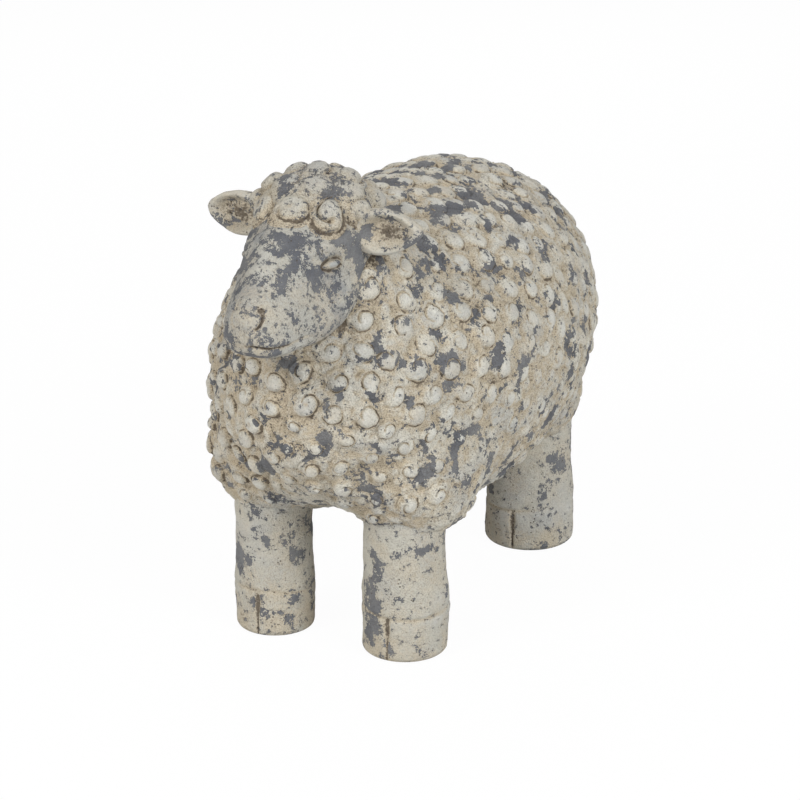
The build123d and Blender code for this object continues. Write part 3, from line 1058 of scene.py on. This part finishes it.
@dataclass
class Leg:
    """A leg with a scored hoof line and a cleft in front.

    Attributes:
        node: The CAD node that it stands for.
        x: Sideways place of its axis.
        y: Lengthwise place of its axis.
        radius: Half thickness at the ankle.
        top: Height at which it ends inside the body.
        hoof: Height of the hoof line.
        spread: How much wider the foot is.
        seed: Number that picks its dents.
        foot_round: Radius of the rounded lower edge.
    """

    node: str
    x: float
    y: float
    radius: float
    seed: int
    top: float = 165.0
    hoof: float = 41.0
    spread: float = 2.0
    foot_round: float = 6.0

    def build(self, skin: bpy.types.Material) -> None:
        """Make the leg.

        Args:
            skin: Its material.
        """
        turn = 180
        corner = np.linspace(0, math.pi / 2, 9)
        low = [(1 - math.cos(c), math.sin(c)) for c in corner]
        straight = np.arange(self.foot_round + 1.2, self.top, 1.2)
        heights = np.concatenate([[self.foot_round * f for f, _ in low], straight])
        inset = np.concatenate([[self.foot_round * (1 - g) for _, g in low], np.zeros(len(straight))])
        base_rings = np.array([0.3, 0.65])
        z = np.concatenate([np.zeros(2), heights])
        wide = self.radius + self.spread * (1 - ease(self.hoof, 2 * self.hoof, heights)) - inset
        wide = np.concatenate([base_rings * wide[0], wide])
        angle = np.arange(turn) / turn * 2 * math.pi
        ring_z, ring_a = np.meshgrid(z, angle, indexing="ij")
        ring_r = np.broadcast_to(wide[:, None], ring_z.shape)
        rough = np.stack([ring_r * np.cos(ring_a), ring_r * np.sin(ring_a), ring_z], -1).reshape(-1, 3)
        rough = rough + (self.seed * 300, 0, 0)
        z_all, a_all = ring_z.ravel(), ring_a.ravel()
        upright = ease(0.5, 6, z_all)
        dent = 1.5 * clay_noise(rough, 45, 81) + 0.6 * clay_noise(rough, 14, 82, 2)
        dent = dent + 0.25 * clay_noise(rough, 4, 83)
        wave = self.hoof + 1.6 * np.sin(a_all * 2 + self.seed) + 1.2 * clay_noise(rough, 20, 84)
        line = bell(z_all - wave, 1.6) * np.clip(0.6 + 0.7 * clay_noise(rough, 24, 85), 0, 1)
        lip = bell(z_all - wave + 5, 4)
        front = np.abs((a_all + math.pi / 2 + math.pi) % (2 * math.pi) - math.pi) * self.radius
        below = 1 - ease(self.hoof - 4, self.hoof + 1, z_all)
        cleft = bell(front + 0.8 * np.sin(z_all * 0.15), 1.8) * below * (0.4 + 0.6 * upright)
        push = (dent + 0.35 * lip - 1.9 * line - 2.3 * cleft) * upright
        radial = ring_r.ravel() + push
        points = np.stack([self.x + radial * np.cos(a_all), self.y + radial * np.sin(a_all), z_all], 1)
        ends = np.array([[self.x, self.y, 0.0], [self.x, self.y, self.top - 1.2]])
        quads, fans = ring_polygons(len(z), turn)
        # Darker towards the foot.
        darker_towards_foot = 0.3 * (1 - ease(8, 60, z_all)) * (1 + clay_noise(rough, 15, 86, 2))
        # Painted shade in the hoof line and in the cleft.
        hollow = np.concatenate([0.1 + 0.9 * line + 1.2 * cleft - 0.15 * dent + darker_towards_foot, [0, 0]])
        rubbed = np.concatenate([0.4 + 0.25 * dent + 0.3 * lip, [0, 0]])
        Shell(np.concatenate([points, ends]), [quads, fans], hollow, rubbed).piece(
            f"{self.node}_look", skin, Slot.SKIN, self.node
        )


@dataclass
class Tail:
    """The short woolly drop on the rump.

    Attributes:
        top: Upper ball's middle.
        tip: Lower ball's middle.
        top_radius: Upper ball's half width.
        tip_radius: Lower ball's half width.
    """

    top: Array
    tip: Array
    top_radius: float = 14.0
    tip_radius: float = 21.0

    def distance(self, points: Array) -> Array:
        """Rough distance to the drop.

        Args:
            points: Places, one per row.

        Returns:
            Distances, below zero inside.
        """
        run = self.tip - self.top
        share = np.clip((points - self.top) @ run / (run @ run), 0, 1)
        core = self.top + share[:, None] * run
        radius = self.top_radius + share * (self.tip_radius - self.top_radius)
        return np.linalg.norm(points - core, axis=1) - radius

    def build(self, finish: bpy.types.Material) -> None:
        """Make the tail with a few twisted strands.

        Args:
            finish: Its material.
        """
        axis = unit(self.tip - self.top)
        rings, turn = 110, 120
        directions = globe(rings, turn, axis, np.array([1.0, 0.0, 0.0]))
        points = cast(self.distance, (self.top + self.tip) / 2, directions, 90)
        normals = outward(self.distance, points)
        along = (points - self.top) @ axis
        angle = np.arctan2(directions @ np.cross(axis, [1.0, 0.0, 0.0]), directions[:, 0])
        strand = np.cos(3 * angle + along * 0.11)
        height = 1.3 * strand + 0.8 * clay_noise(points, 9, 91, 2)
        quads, fans = ring_polygons(rings, turn)
        # The lows between the strands get dust and painted shade.
        Shell(
            points + normals * height[:, None],
            [quads[:, ::-1], fans[:, ::-1]],
            0.35 - 0.3 * height,
            0.3 + 0.3 * height,
        ).piece("tail_look", finish, Slot.FLEECE, "tail")


class Graph:
    """Lays out the nodes of one shader tree."""

    def __init__(self, tree: bpy.types.NodeTree) -> None:
        """Start on an empty tree.

        Args:
            tree: The shader tree.
        """
        self.tree = tree

    def node(self, kind: str, **settings: object) -> bpy.types.Node:
        """Add a node.

        Args:
            kind: The node's type name after "ShaderNode".
            settings: Properties to set on it.

        Returns:
            The node.
        """
        made = self.tree.nodes.new(f"ShaderNode{kind}")
        for name, value in settings.items():
            setattr(made, name, value)
        return made

    def feed(self, socket: bpy.types.NodeSocket, value: object) -> None:
        """Link a socket, or set it where the value is a constant.

        Args:
            socket: The input.
            value: An output socket or a constant.
        """
        if isinstance(value, bpy.types.NodeSocket):
            self.tree.links.new(value, socket)
        elif isinstance(value, tuple) and len(value) == 3 and socket.type == "RGBA":
            socket.default_value = (*value, 1.0)
        else:
            socket.default_value = value

    def sum(self, operation: str, *values: object) -> bpy.types.NodeSocket:
        """A math node.

        Args:
            operation: Blender's name of the operation.
            values: Its inputs.

        Returns:
            The result.
        """
        made = self.node("Math", operation=operation)
        for socket, value in zip(made.inputs, values):
            self.feed(socket, value)
        return made.outputs[0]

    def step(self, value: object, low: object, high: object) -> bpy.types.NodeSocket:
        """A smooth step from 0 to 1.

        Args:
            value: The value to grade.
            low: Where the step starts.
            high: Where it ends.

        Returns:
            The share.
        """
        made = self.node("MapRange", interpolation_type="SMOOTHSTEP")
        for socket, given in zip(made.inputs, (value, low, high)):
            self.feed(socket, given)
        return made.outputs[0]

    def mix(self, share: object, first: object, second: object) -> bpy.types.NodeSocket:
        """A colour mix.

        Args:
            share: Weight of the second colour.
            first: The first colour.
            second: The second colour.

        Returns:
            The mixed colour.
        """
        made = self.node("Mix", data_type="RGBA")
        self.feed(made.inputs["Factor"], share)
        self.feed(made.inputs[6], first)
        self.feed(made.inputs[7], second)
        return made.outputs[2]

    def noise(
        self, place: object, scale: object, detail: float, roughness: float = 0.55
    ) -> bpy.types.NodeSocket:
        """A noise texture's value.

        Args:
            place: Where to read it.
            scale: Lumps per metre.
            detail: Layers of detail.
            roughness: Strength of the finer layers.

        Returns:
            The value.
        """
        made = self.node("TexNoise")
        self.feed(made.inputs["Vector"], place)
        self.feed(made.inputs["Scale"], scale)
        self.feed(made.inputs["Detail"], detail)
        self.feed(made.inputs["Roughness"], roughness)
        return made.outputs["Fac"]


class Effect:
    """A shared shader node group that gives masks and heights from a place on the object."""

    def __init__(self, name: str, inputs: dict[str, str], outputs: list[str]) -> None:
        """Make the group with its sockets.

        Args:
            name: Name of the group.
            inputs: Socket type by input name.
            outputs: Names of the value outputs.
        """
        self.tree = bpy.data.node_groups.new(name, "ShaderNodeTree")
        for label, kind in inputs.items():
            self.tree.interface.new_socket(label, in_out="INPUT", socket_type=f"NodeSocket{kind}")
        for label in outputs:
            self.tree.interface.new_socket(label, in_out="OUTPUT", socket_type="NodeSocketFloat")
        self.source = self.tree.nodes.new("NodeGroupInput").outputs
        self.result = self.tree.nodes.new("NodeGroupOutput").inputs
        self.graph = Graph(self.tree)

    def use(self, graph: Graph, **values: object) -> bpy.types.bpy_prop_collection:
        """Put the group into a material.

        Args:
            graph: The material's graph.
            values: Inputs by name, with underscores for spaces.

        Returns:
            The outputs of the group.
        """
        made = graph.node("Group", node_tree=self.tree)
        for label, value in values.items():
            graph.feed(made.inputs[label.replace("_", " ")], value)
        return made.outputs


def bare_patches() -> Effect:
    """Crisp irregular patches where the pale coat has worn off.

    Returns:
        The effect, with a mask that is one on the bare clay.
    """
    inputs = {"Place": "Vector", "Scale": "Float", "Level": "Float", "Fray": "Float"}
    made = Effect("bare_patches", inputs, ["Mask"])
    graph, source = made.graph, made.source
    broad = graph.noise(source["Place"], source["Scale"], 2.0, 0.6)
    crumb = graph.noise(source["Place"], graph.sum("MULTIPLY", source["Scale"], 6.5), 3.0, 0.6)
    grains = graph.noise(source["Place"], graph.sum("MULTIPLY", source["Scale"], 19.0), 2.0, 0.6)
    value = graph.sum("MULTIPLY_ADD", graph.sum("SUBTRACT", crumb, 0.5), 0.38, broad)
    value = graph.sum("MULTIPLY_ADD", graph.sum("SUBTRACT", grains, 0.5), source["Fray"], value)
    edge = graph.sum("ADD", source["Level"], 0.012)
    graph.feed(made.result["Mask"], graph.step(value, source["Level"], edge))
    return made


def pitting() -> Effect:
    """Small pits scattered in the clay, which the finishes paint nearly black as their shade.

    Returns:
        The effect, with a mask that is one inside a pit.
    """
    made = Effect("pitting", {"Place": "Vector", "Scale": "Float", "Level": "Float"}, ["Mask"])
    graph, source = made.graph, made.source
    cells = graph.node("TexVoronoi", feature="F1")
    graph.feed(cells.inputs["Vector"], source["Place"])
    graph.feed(cells.inputs["Scale"], source["Scale"])
    spot = graph.sum("SUBTRACT", 1.0, graph.step(cells.outputs["Distance"], 0.12, 0.34))
    gate = graph.noise(source["Place"], graph.sum("MULTIPLY", source["Scale"], 0.35), 2.0)
    chosen = graph.step(gate, source["Level"], graph.sum("ADD", source["Level"], 0.05))
    graph.feed(made.result["Mask"], graph.sum("MULTIPLY", spot, chosen))
    return made


def hollow_dust_and_shade() -> Effect:
    """Warm dust in the recesses, and painted shade in the deepest of them.

    Returns:
        The effect, with masks for the dust and for the painted shade in the deepest recesses.
    """
    inputs = {"Place": "Vector", "Hollow": "Float", "Amount": "Float"}
    made = Effect("hollow_dust_and_shade", inputs, ["Dust", "Depth"])
    graph, source = made.graph, made.source
    cloud = graph.noise(source["Place"], 55.0, 4.0, 0.65)
    fine = graph.noise(source["Place"], 420.0, 3.0, 0.6)
    lift = graph.sum("MULTIPLY_ADD", graph.sum("SUBTRACT", cloud, 0.5), 1.0, source["Hollow"])
    lift = graph.sum("MULTIPLY_ADD", graph.sum("SUBTRACT", fine, 0.5), 0.9, lift)
    graph.feed(made.result["Dust"], graph.sum("MULTIPLY", graph.step(lift, 0.0, 0.66), source["Amount"]))
    # Painted shade: the deepest recesses go nearly black.
    deep = graph.sum("MULTIPLY_ADD", graph.sum("SUBTRACT", cloud, 0.5), 0.7, source["Hollow"])
    deep = graph.sum("MULTIPLY_ADD", graph.sum("SUBTRACT", fine, 0.5), 1.9, deep)
    graph.feed(made.result["Depth"], graph.step(deep, 0.75, 1.3))
    return made


def clay_grain() -> Effect:
    """The gritty surface of the clay.

    Returns:
        The effect, with a height in millimetres, a broad tint, painted shade where the grit is low and a thin haze.
    """
    made = Effect("clay_grain", {"Place": "Vector"}, ["Height", "Tint", "Grit Shade", "Haze"])
    graph, source = made.graph, made.source
    grit = graph.noise(source["Place"], 850.0, 2.0, 0.6)
    lumps = graph.noise(source["Place"], 210.0, 3.0, 0.65)
    tint = graph.noise(source["Place"], 34.0, 5.0, 0.65)
    height = graph.sum("MULTIPLY_ADD", grit, 1.5, graph.sum("MULTIPLY", lumps, 2.6))
    graph.feed(made.result["Height"], height)
    graph.feed(made.result["Tint"], tint)
    # Painted shade where the grit is low.
    graph.feed(made.result["Grit Shade"], graph.sum("SUBTRACT", 1.0, graph.step(grit, 0.4, 0.53)))
    graph.feed(made.result["Haze"], graph.step(graph.noise(source["Place"], 27.0, 5.0, 0.62), 0.46, 0.62))
    return made


@dataclass(frozen=True)
class Effects:
    """The shared node groups that the finishes draw on."""

    patches: Effect
    pits: Effect
    # Dust, and the painted shade of the deepest recesses.
    dust: Effect
    grain: Effect


@dataclass(frozen=True)
class WornCoat:
    """A pale coat worn down to slate grey clay, with dust and painted shade in its recesses.

    Attributes:
        name: Name of the material.
        coat: The pale coat.
        cool: The coat where it is worn thin; on the face and the ear rims it is also the lighter colour of the painted
            highlight.
        haze: The coat where the clay shows through.
        clay: The bare clay.
        dust: Dust in the recesses.
        depth: The painted shade of the deepest recesses, of the low grit and of the pits.
        patch_scale: Bare patches per metre.
        patch_level: Threshold above which the clay is bare; higher is less.
        speck_level: The same for small specks.
        pit_level: The same for pits.
        dust_amount: Strength of the dust.
        grit: Strength of the gritty surface.
        knob_keep: How well the coat holds on exposed knobs, 0 to 1.
        top_wear: How much lower the threshold of the bare patches is on the top of the figure.
        haze_amount: Strength of the haze.
        grit_shade: Strength of the painted shade where the grit is low.
        fray: How far the edges of the bare patches crumble into grains.
    """

    name: str
    coat: Colour = (0.63, 0.60, 0.52)
    cool: Colour = (0.62, 0.605, 0.55)
    haze: Colour = (0.38, 0.385, 0.378)
    clay: Colour = (0.118, 0.123, 0.137)
    dust: Colour = (0.525, 0.445, 0.325)
    depth: Colour = (0.075, 0.055, 0.04)
    patch_scale: float = 42.0
    patch_level: float = 0.57
    speck_level: float = 0.66
    pit_level: float = 0.6
    dust_amount: float = 0.8
    grit: float = 0.8
    knob_keep: float = 0.0
    top_wear: float = 0.05
    haze_amount: float = 0.45
    grit_shade: float = 0.4
    fray: float = 0.28

    def material(self, effects: Effects) -> bpy.types.Material:
        """Build the material.

        Args:
            effects: The shared node groups.

        Returns:
            The material.
        """
        made = bpy.data.materials.new(self.name)
        made.use_nodes = True
        made.node_tree.nodes.clear()
        graph = Graph(made.node_tree)
        place = graph.node("TexCoord").outputs["Object"]
        hollow = graph.node("Attribute", attribute_name=Mark.HOLLOW.value).outputs["Fac"]
        rubbed = graph.node("Attribute", attribute_name=Mark.RUBBED.value).outputs["Fac"]
        grain = effects.grain.use(graph, Place=place)
        # Dust, and the painted shade of the deepest recesses, from the hollow mark.
        dust = effects.dust.use(graph, Place=place, Hollow=hollow, Amount=self.dust_amount)
        apart = graph.node("SeparateXYZ")
        graph.feed(apart.inputs[0], place)
        high = graph.step(apart.outputs["Z"], 0.31, 0.375)
        level = graph.sum("MULTIPLY_ADD", high, -self.top_wear, self.patch_level)
        level = graph.sum("MULTIPLY_ADD", graph.step(rubbed, 0.5, 1.0), 0.1 * self.knob_keep, level)
        level = graph.sum("MULTIPLY_ADD", graph.step(hollow, 0.6, 1.1), 0.12, level)
        large = effects.patches.use(
            graph, Place=place, Scale=self.patch_scale, Level=level, Fray=self.fray
        )["Mask"]
        small = effects.patches.use(
            graph, Place=place, Scale=self.patch_scale * 4.2, Level=self.speck_level, Fray=self.fray
        )["Mask"]
        pit_level = graph.sum("MULTIPLY_ADD", graph.step(hollow, 0.35, 0.95), -0.13, self.pit_level)
        pits = effects.pits.use(graph, Place=place, Scale=330.0, Level=pit_level)["Mask"]
        bare = graph.sum("MAXIMUM", large, small)
        # Worn coat, and the painted highlight on the cheeks and ear rims, from the exposure mark.
        pale = graph.mix(graph.step(rubbed, 0.45, 1.0), self.coat, self.cool)
        pale = graph.mix(graph.sum("MULTIPLY", grain["Haze"], self.haze_amount), pale, self.haze)
        pale = graph.mix(graph.step(grain["Tint"], 0.38, 0.72), pale, graph.mix(0.45, pale, self.dust))
        colour = graph.mix(dust["Dust"], pale, self.dust)
        faded = graph.mix(0.24, self.clay, self.cool)
        worn = graph.mix(graph.step(grain["Tint"], 0.3, 0.8), self.clay, faded)
        colour = graph.mix(bare, colour, worn)
        # Painted shade where the grit is low, weaker on exposed parts.
        exposed = graph.sum("MULTIPLY_ADD", graph.step(rubbed, 0.3, 0.9), -0.55, 1.0)
        shade = graph.sum("MULTIPLY", grain["Grit Shade"], graph.sum("MULTIPLY", exposed, self.grit_shade))
        colour = graph.mix(shade, colour, graph.mix(0.6, colour, self.depth))
        # Painted shade in the deepest recesses.
        colour = graph.mix(graph.sum("MULTIPLY", dust["Depth"], 0.8), colour, self.depth)
        # Painted shade in the pits.
        colour = graph.mix(graph.sum("MULTIPLY", pits, 0.85), colour, self.depth)
        height = graph.sum("MULTIPLY_ADD", bare, -0.35, graph.sum("MULTIPLY", grain["Height"], self.grit))
        height = graph.sum("MULTIPLY_ADD", pits, -0.6, height)
        bump = graph.node("Bump")
        graph.feed(bump.inputs["Distance"], METRES)
        graph.feed(bump.inputs["Strength"], 0.9)
        graph.feed(bump.inputs["Height"], height)
        shader = graph.node("BsdfPrincipled")
        graph.feed(shader.inputs["Base Color"], colour)
        graph.feed(shader.inputs["Roughness"], graph.sum("MULTIPLY_ADD", bare, -0.12, 0.93))
        graph.feed(shader.inputs["Specular IOR Level"], 0.25)
        graph.feed(shader.inputs["Normal"], bump.outputs["Normal"])
        output = graph.node("OutputMaterial")
        graph.feed(output.inputs["Surface"], shader.outputs["BSDF"])
        return made


@dataclass
class Studio:
    """White floor and background, soft lights and the camera of the photo.

    Attributes:
        lens: Focal length in millimetres on a 36 mm sensor.
        target: Where the camera looks, in millimetres.
        azimuth: How far round the camera stands to the sheep's left, in degrees.
        elevation: How far above the horizon it stands, in degrees.
        reach: Distance from the target in millimetres.
        key: Power of the main lamp in watts.
        fill: Power of the filling lamp in watts.
        back: Power of the lamp behind in watts.
        ambient: Strength of the white surroundings.
    """

    target: Array
    lens: float = 108.0
    azimuth: float = 25.0
    elevation: float = 18.6
    reach: float = 2146.0
    key: float = 66.0
    fill: float = 74.0
    back: float = 26.0
    ambient: float = 0.4

    def camera(self) -> None:
        """Place the camera at the photo's angle."""
        turn, rise = math.radians(self.azimuth), math.radians(self.elevation)
        back = Vector((math.sin(turn) * math.cos(rise), -math.cos(turn) * math.cos(rise), math.sin(rise)))
        data = bpy.data.cameras.new("photo_camera")
        data.lens = self.lens
        data.sensor_width = 36.0
        data.clip_end = 50.0
        made = bpy.data.objects.new("photo_camera", data)
        bpy.context.collection.objects.link(made)
        made.location = (Vector(self.target) + back * self.reach) * METRES
        made.rotation_euler = back.to_track_quat("Z", "Y").to_euler()
        bpy.context.scene.camera = made

    def lamp(
        self, name: str, place: tuple[float, float, float], size: float, power: float, tint: Colour = (1.0, 1.0, 1.0)
    ) -> None:
        """Add a square soft light that points at the sheep.

        Args:
            name: Name of the light.
            place: Where it hangs, in metres.
            size: Length of its sides, in metres.
            power: Its power in watts.
            tint: Its colour.
        """
        data = bpy.data.lights.new(name, "AREA")
        data.energy = power
        data.color = tint
        data.size = size
        made = bpy.data.objects.new(name, data)
        bpy.context.collection.objects.link(made)
        made.location = place
        aim = Vector(place) - Vector((0, 0, 0.22))
        made.rotation_euler = aim.to_track_quat("Z", "Y").to_euler()

    def world(self) -> None:
        """A background that is white to the camera and a soft light to everything else."""
        world = bpy.data.worlds.new("studio")
        bpy.context.scene.world = world
        world.use_nodes = True
        world.node_tree.nodes.clear()
        graph = Graph(world.node_tree)
        seen = graph.node("Background")
        graph.feed(seen.inputs["Color"], (1.0, 1.0, 1.0))
        graph.feed(seen.inputs["Strength"], 1.0)
        light = graph.node("Background")
        graph.feed(light.inputs["Color"], (0.97, 0.98, 1.0))
        graph.feed(light.inputs["Strength"], self.ambient)
        mix = graph.node("MixShader")
        graph.feed(mix.inputs[0], graph.node("LightPath").outputs["Is Camera Ray"])
        graph.feed(mix.inputs[1], light.outputs[0])
        graph.feed(mix.inputs[2], seen.outputs[0])
        graph.feed(graph.node("OutputWorld").inputs["Surface"], mix.outputs[0])

    def floor(self) -> None:
        """A pale floor that is nearly white to the camera and keeps a soft shadow."""
        mesh = bpy.data.meshes.new("floor")
        half = 8.0
        corners = [(-half, -half, 0), (half, -half, 0), (half, half, 0), (-half, half, 0)]
        mesh.from_pydata(corners, [], [(0, 1, 2, 3)])
        made = bpy.data.objects.new("floor", mesh)
        bpy.context.collection.objects.link(made)
        material = bpy.data.materials.new("floor_paper")
        material.use_nodes = True
        material.node_tree.nodes.clear()
        graph = Graph(material.node_tree)
        paper = graph.node("BsdfPrincipled")
        graph.feed(paper.inputs["Base Color"], (0.86, 0.86, 0.855))
        graph.feed(paper.inputs["Roughness"], 0.9)
        glow = graph.node("Emission")
        graph.feed(glow.inputs["Color"], (1.0, 1.0, 1.0))
        graph.feed(glow.inputs["Strength"], 1.0)
        mix = graph.node("MixShader")
        seen = graph.node("LightPath").outputs["Is Camera Ray"]
        graph.feed(mix.inputs[0], graph.sum("MULTIPLY", seen, 0.97))
        graph.feed(mix.inputs[1], paper.outputs[0])
        graph.feed(mix.inputs[2], glow.outputs[0])
        graph.feed(graph.node("OutputMaterial").inputs["Surface"], mix.outputs[0])
        mesh.materials.append(material)

    def build(self) -> None:
        """Set up the whole studio."""
        self.camera()
        self.world()
        self.floor()
        self.lamp("key_light", (-1.1, -2.7, 2.3), 1.1, self.key, (1.0, 0.985, 0.955))
        self.lamp("fill_light", (2.7, -1.1, 2.1), 1.3, self.fill, (0.955, 0.98, 1.0))
        self.lamp("back_light", (-1.2, 2.6, 1.7), 1.6, self.back)
        bpy.context.scene.view_settings.view_transform = "Standard"


def middle_of(node: str) -> Array:
    """Middle of a CAD node's box.

    Args:
        node: Name of the node.

    Returns:
        The middle in millimetres.
    """
    low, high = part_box(node)
    return (np.array(low) + np.array(high)) / 2 / METRES


def main() -> None:
    """Build every piece in order."""
    logging.basicConfig(level=logging.INFO, format="%(name)s: %(message)s")
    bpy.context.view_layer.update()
    effects = Effects(bare_patches(), pitting(), hollow_dust_and_shade(), clay_grain())
    ground = WornCoat(
        "fleece_clay",
        patch_level=0.592,
        speck_level=0.64,
        dust_amount=0.95,
        grit=1.3,
        grit_shade=0.6,
        top_wear=0.065,
        fray=0.14,
    ).material(effects)
    curl = WornCoat(
        "curl_clay",
        patch_level=0.592,
        speck_level=0.65,
        dust_amount=0.95,
        grit=1.2,
        knob_keep=0.8,
        grit_shade=0.6,
        top_wear=0.065,
        fray=0.14,
    ).material(effects)
    crown = WornCoat(
        "crown_clay",
        coat=(0.53, 0.498, 0.42),
        cool=(0.53, 0.51, 0.455),
        patch_level=0.635,
        speck_level=0.61,
        grit=1.2,
        knob_keep=0.35,
        haze_amount=0.5,
        grit_shade=0.7,
    ).material(effects)
    face = WornCoat(
        "face_clay",
        coat=(0.415, 0.404, 0.362),
        cool=(0.5, 0.49, 0.447),
        haze=(0.28, 0.285, 0.28),
        clay=(0.105, 0.11, 0.124),
        patch_scale=46.0,
        patch_level=0.578,
        speck_level=0.61,
        dust_amount=0.5,
        haze_amount=0.85,
    ).material(effects)
    skin = WornCoat(
        "leg_clay",
        coat=(0.49, 0.472, 0.413),
        cool=(0.5, 0.49, 0.45),
        patch_scale=36.0,
        patch_level=0.6,
        speck_level=0.65,
        dust_amount=0.6,
    ).material(effects)
    eye = WornCoat(
        "eye_clay", coat=(0.36, 0.355, 0.33), cool=(0.38, 0.38, 0.36), dust_amount=0.7
    ).material(effects)

    front, rear = middle_of("front_left_leg"), middle_of("rear_left_leg")
    body = middle_of("body_left_half") * (0, 1, 1)
    form = FleeceForm(
        body, np.array([front[0], front[1] + 11, 156.0]), np.array([rear[0], rear[1] - 6, 146.0])
    )
    head = Head(body + (0, -187, 128))
    tail = Tail(body + (0, 207.3, 89.5), body + (0, 236.1, 49.9))
    fleece = Fleece(
        form,
        head.smooth,
        [(side.value * leg[0], leg[1], r) for side in Side for leg, r in ((front, FRONT_RADIUS), (rear, REAR_RADIUS))],
        tail.distance,
    )
    fleece.build(ground, curl)
    head.build(face, eye, crown)
    for side in Side:
        Ear(side, np.array([59.0 * side.value + 2.0, body[1] - 195.0, 380.0 - side.value])).build(skin)
        slim = RIGHT_LEG_SLIM if side is Side.RIGHT else 0.0
        legs = (("front", front, FRONT_RADIUS - slim), ("rear", rear, REAR_RADIUS))
        for number, (word, leg, radius) in enumerate(legs):
            across = side.value * leg[0] + slim
            Leg(f"{word}_{side.word}_leg", across, leg[1], radius, 2 * number + side.value).build(skin)
    tail.build(ground)
    Studio(np.array([-0.56, body[1] - 21.83, 176.0])).build()


if __name__ == "__main__":
    main()
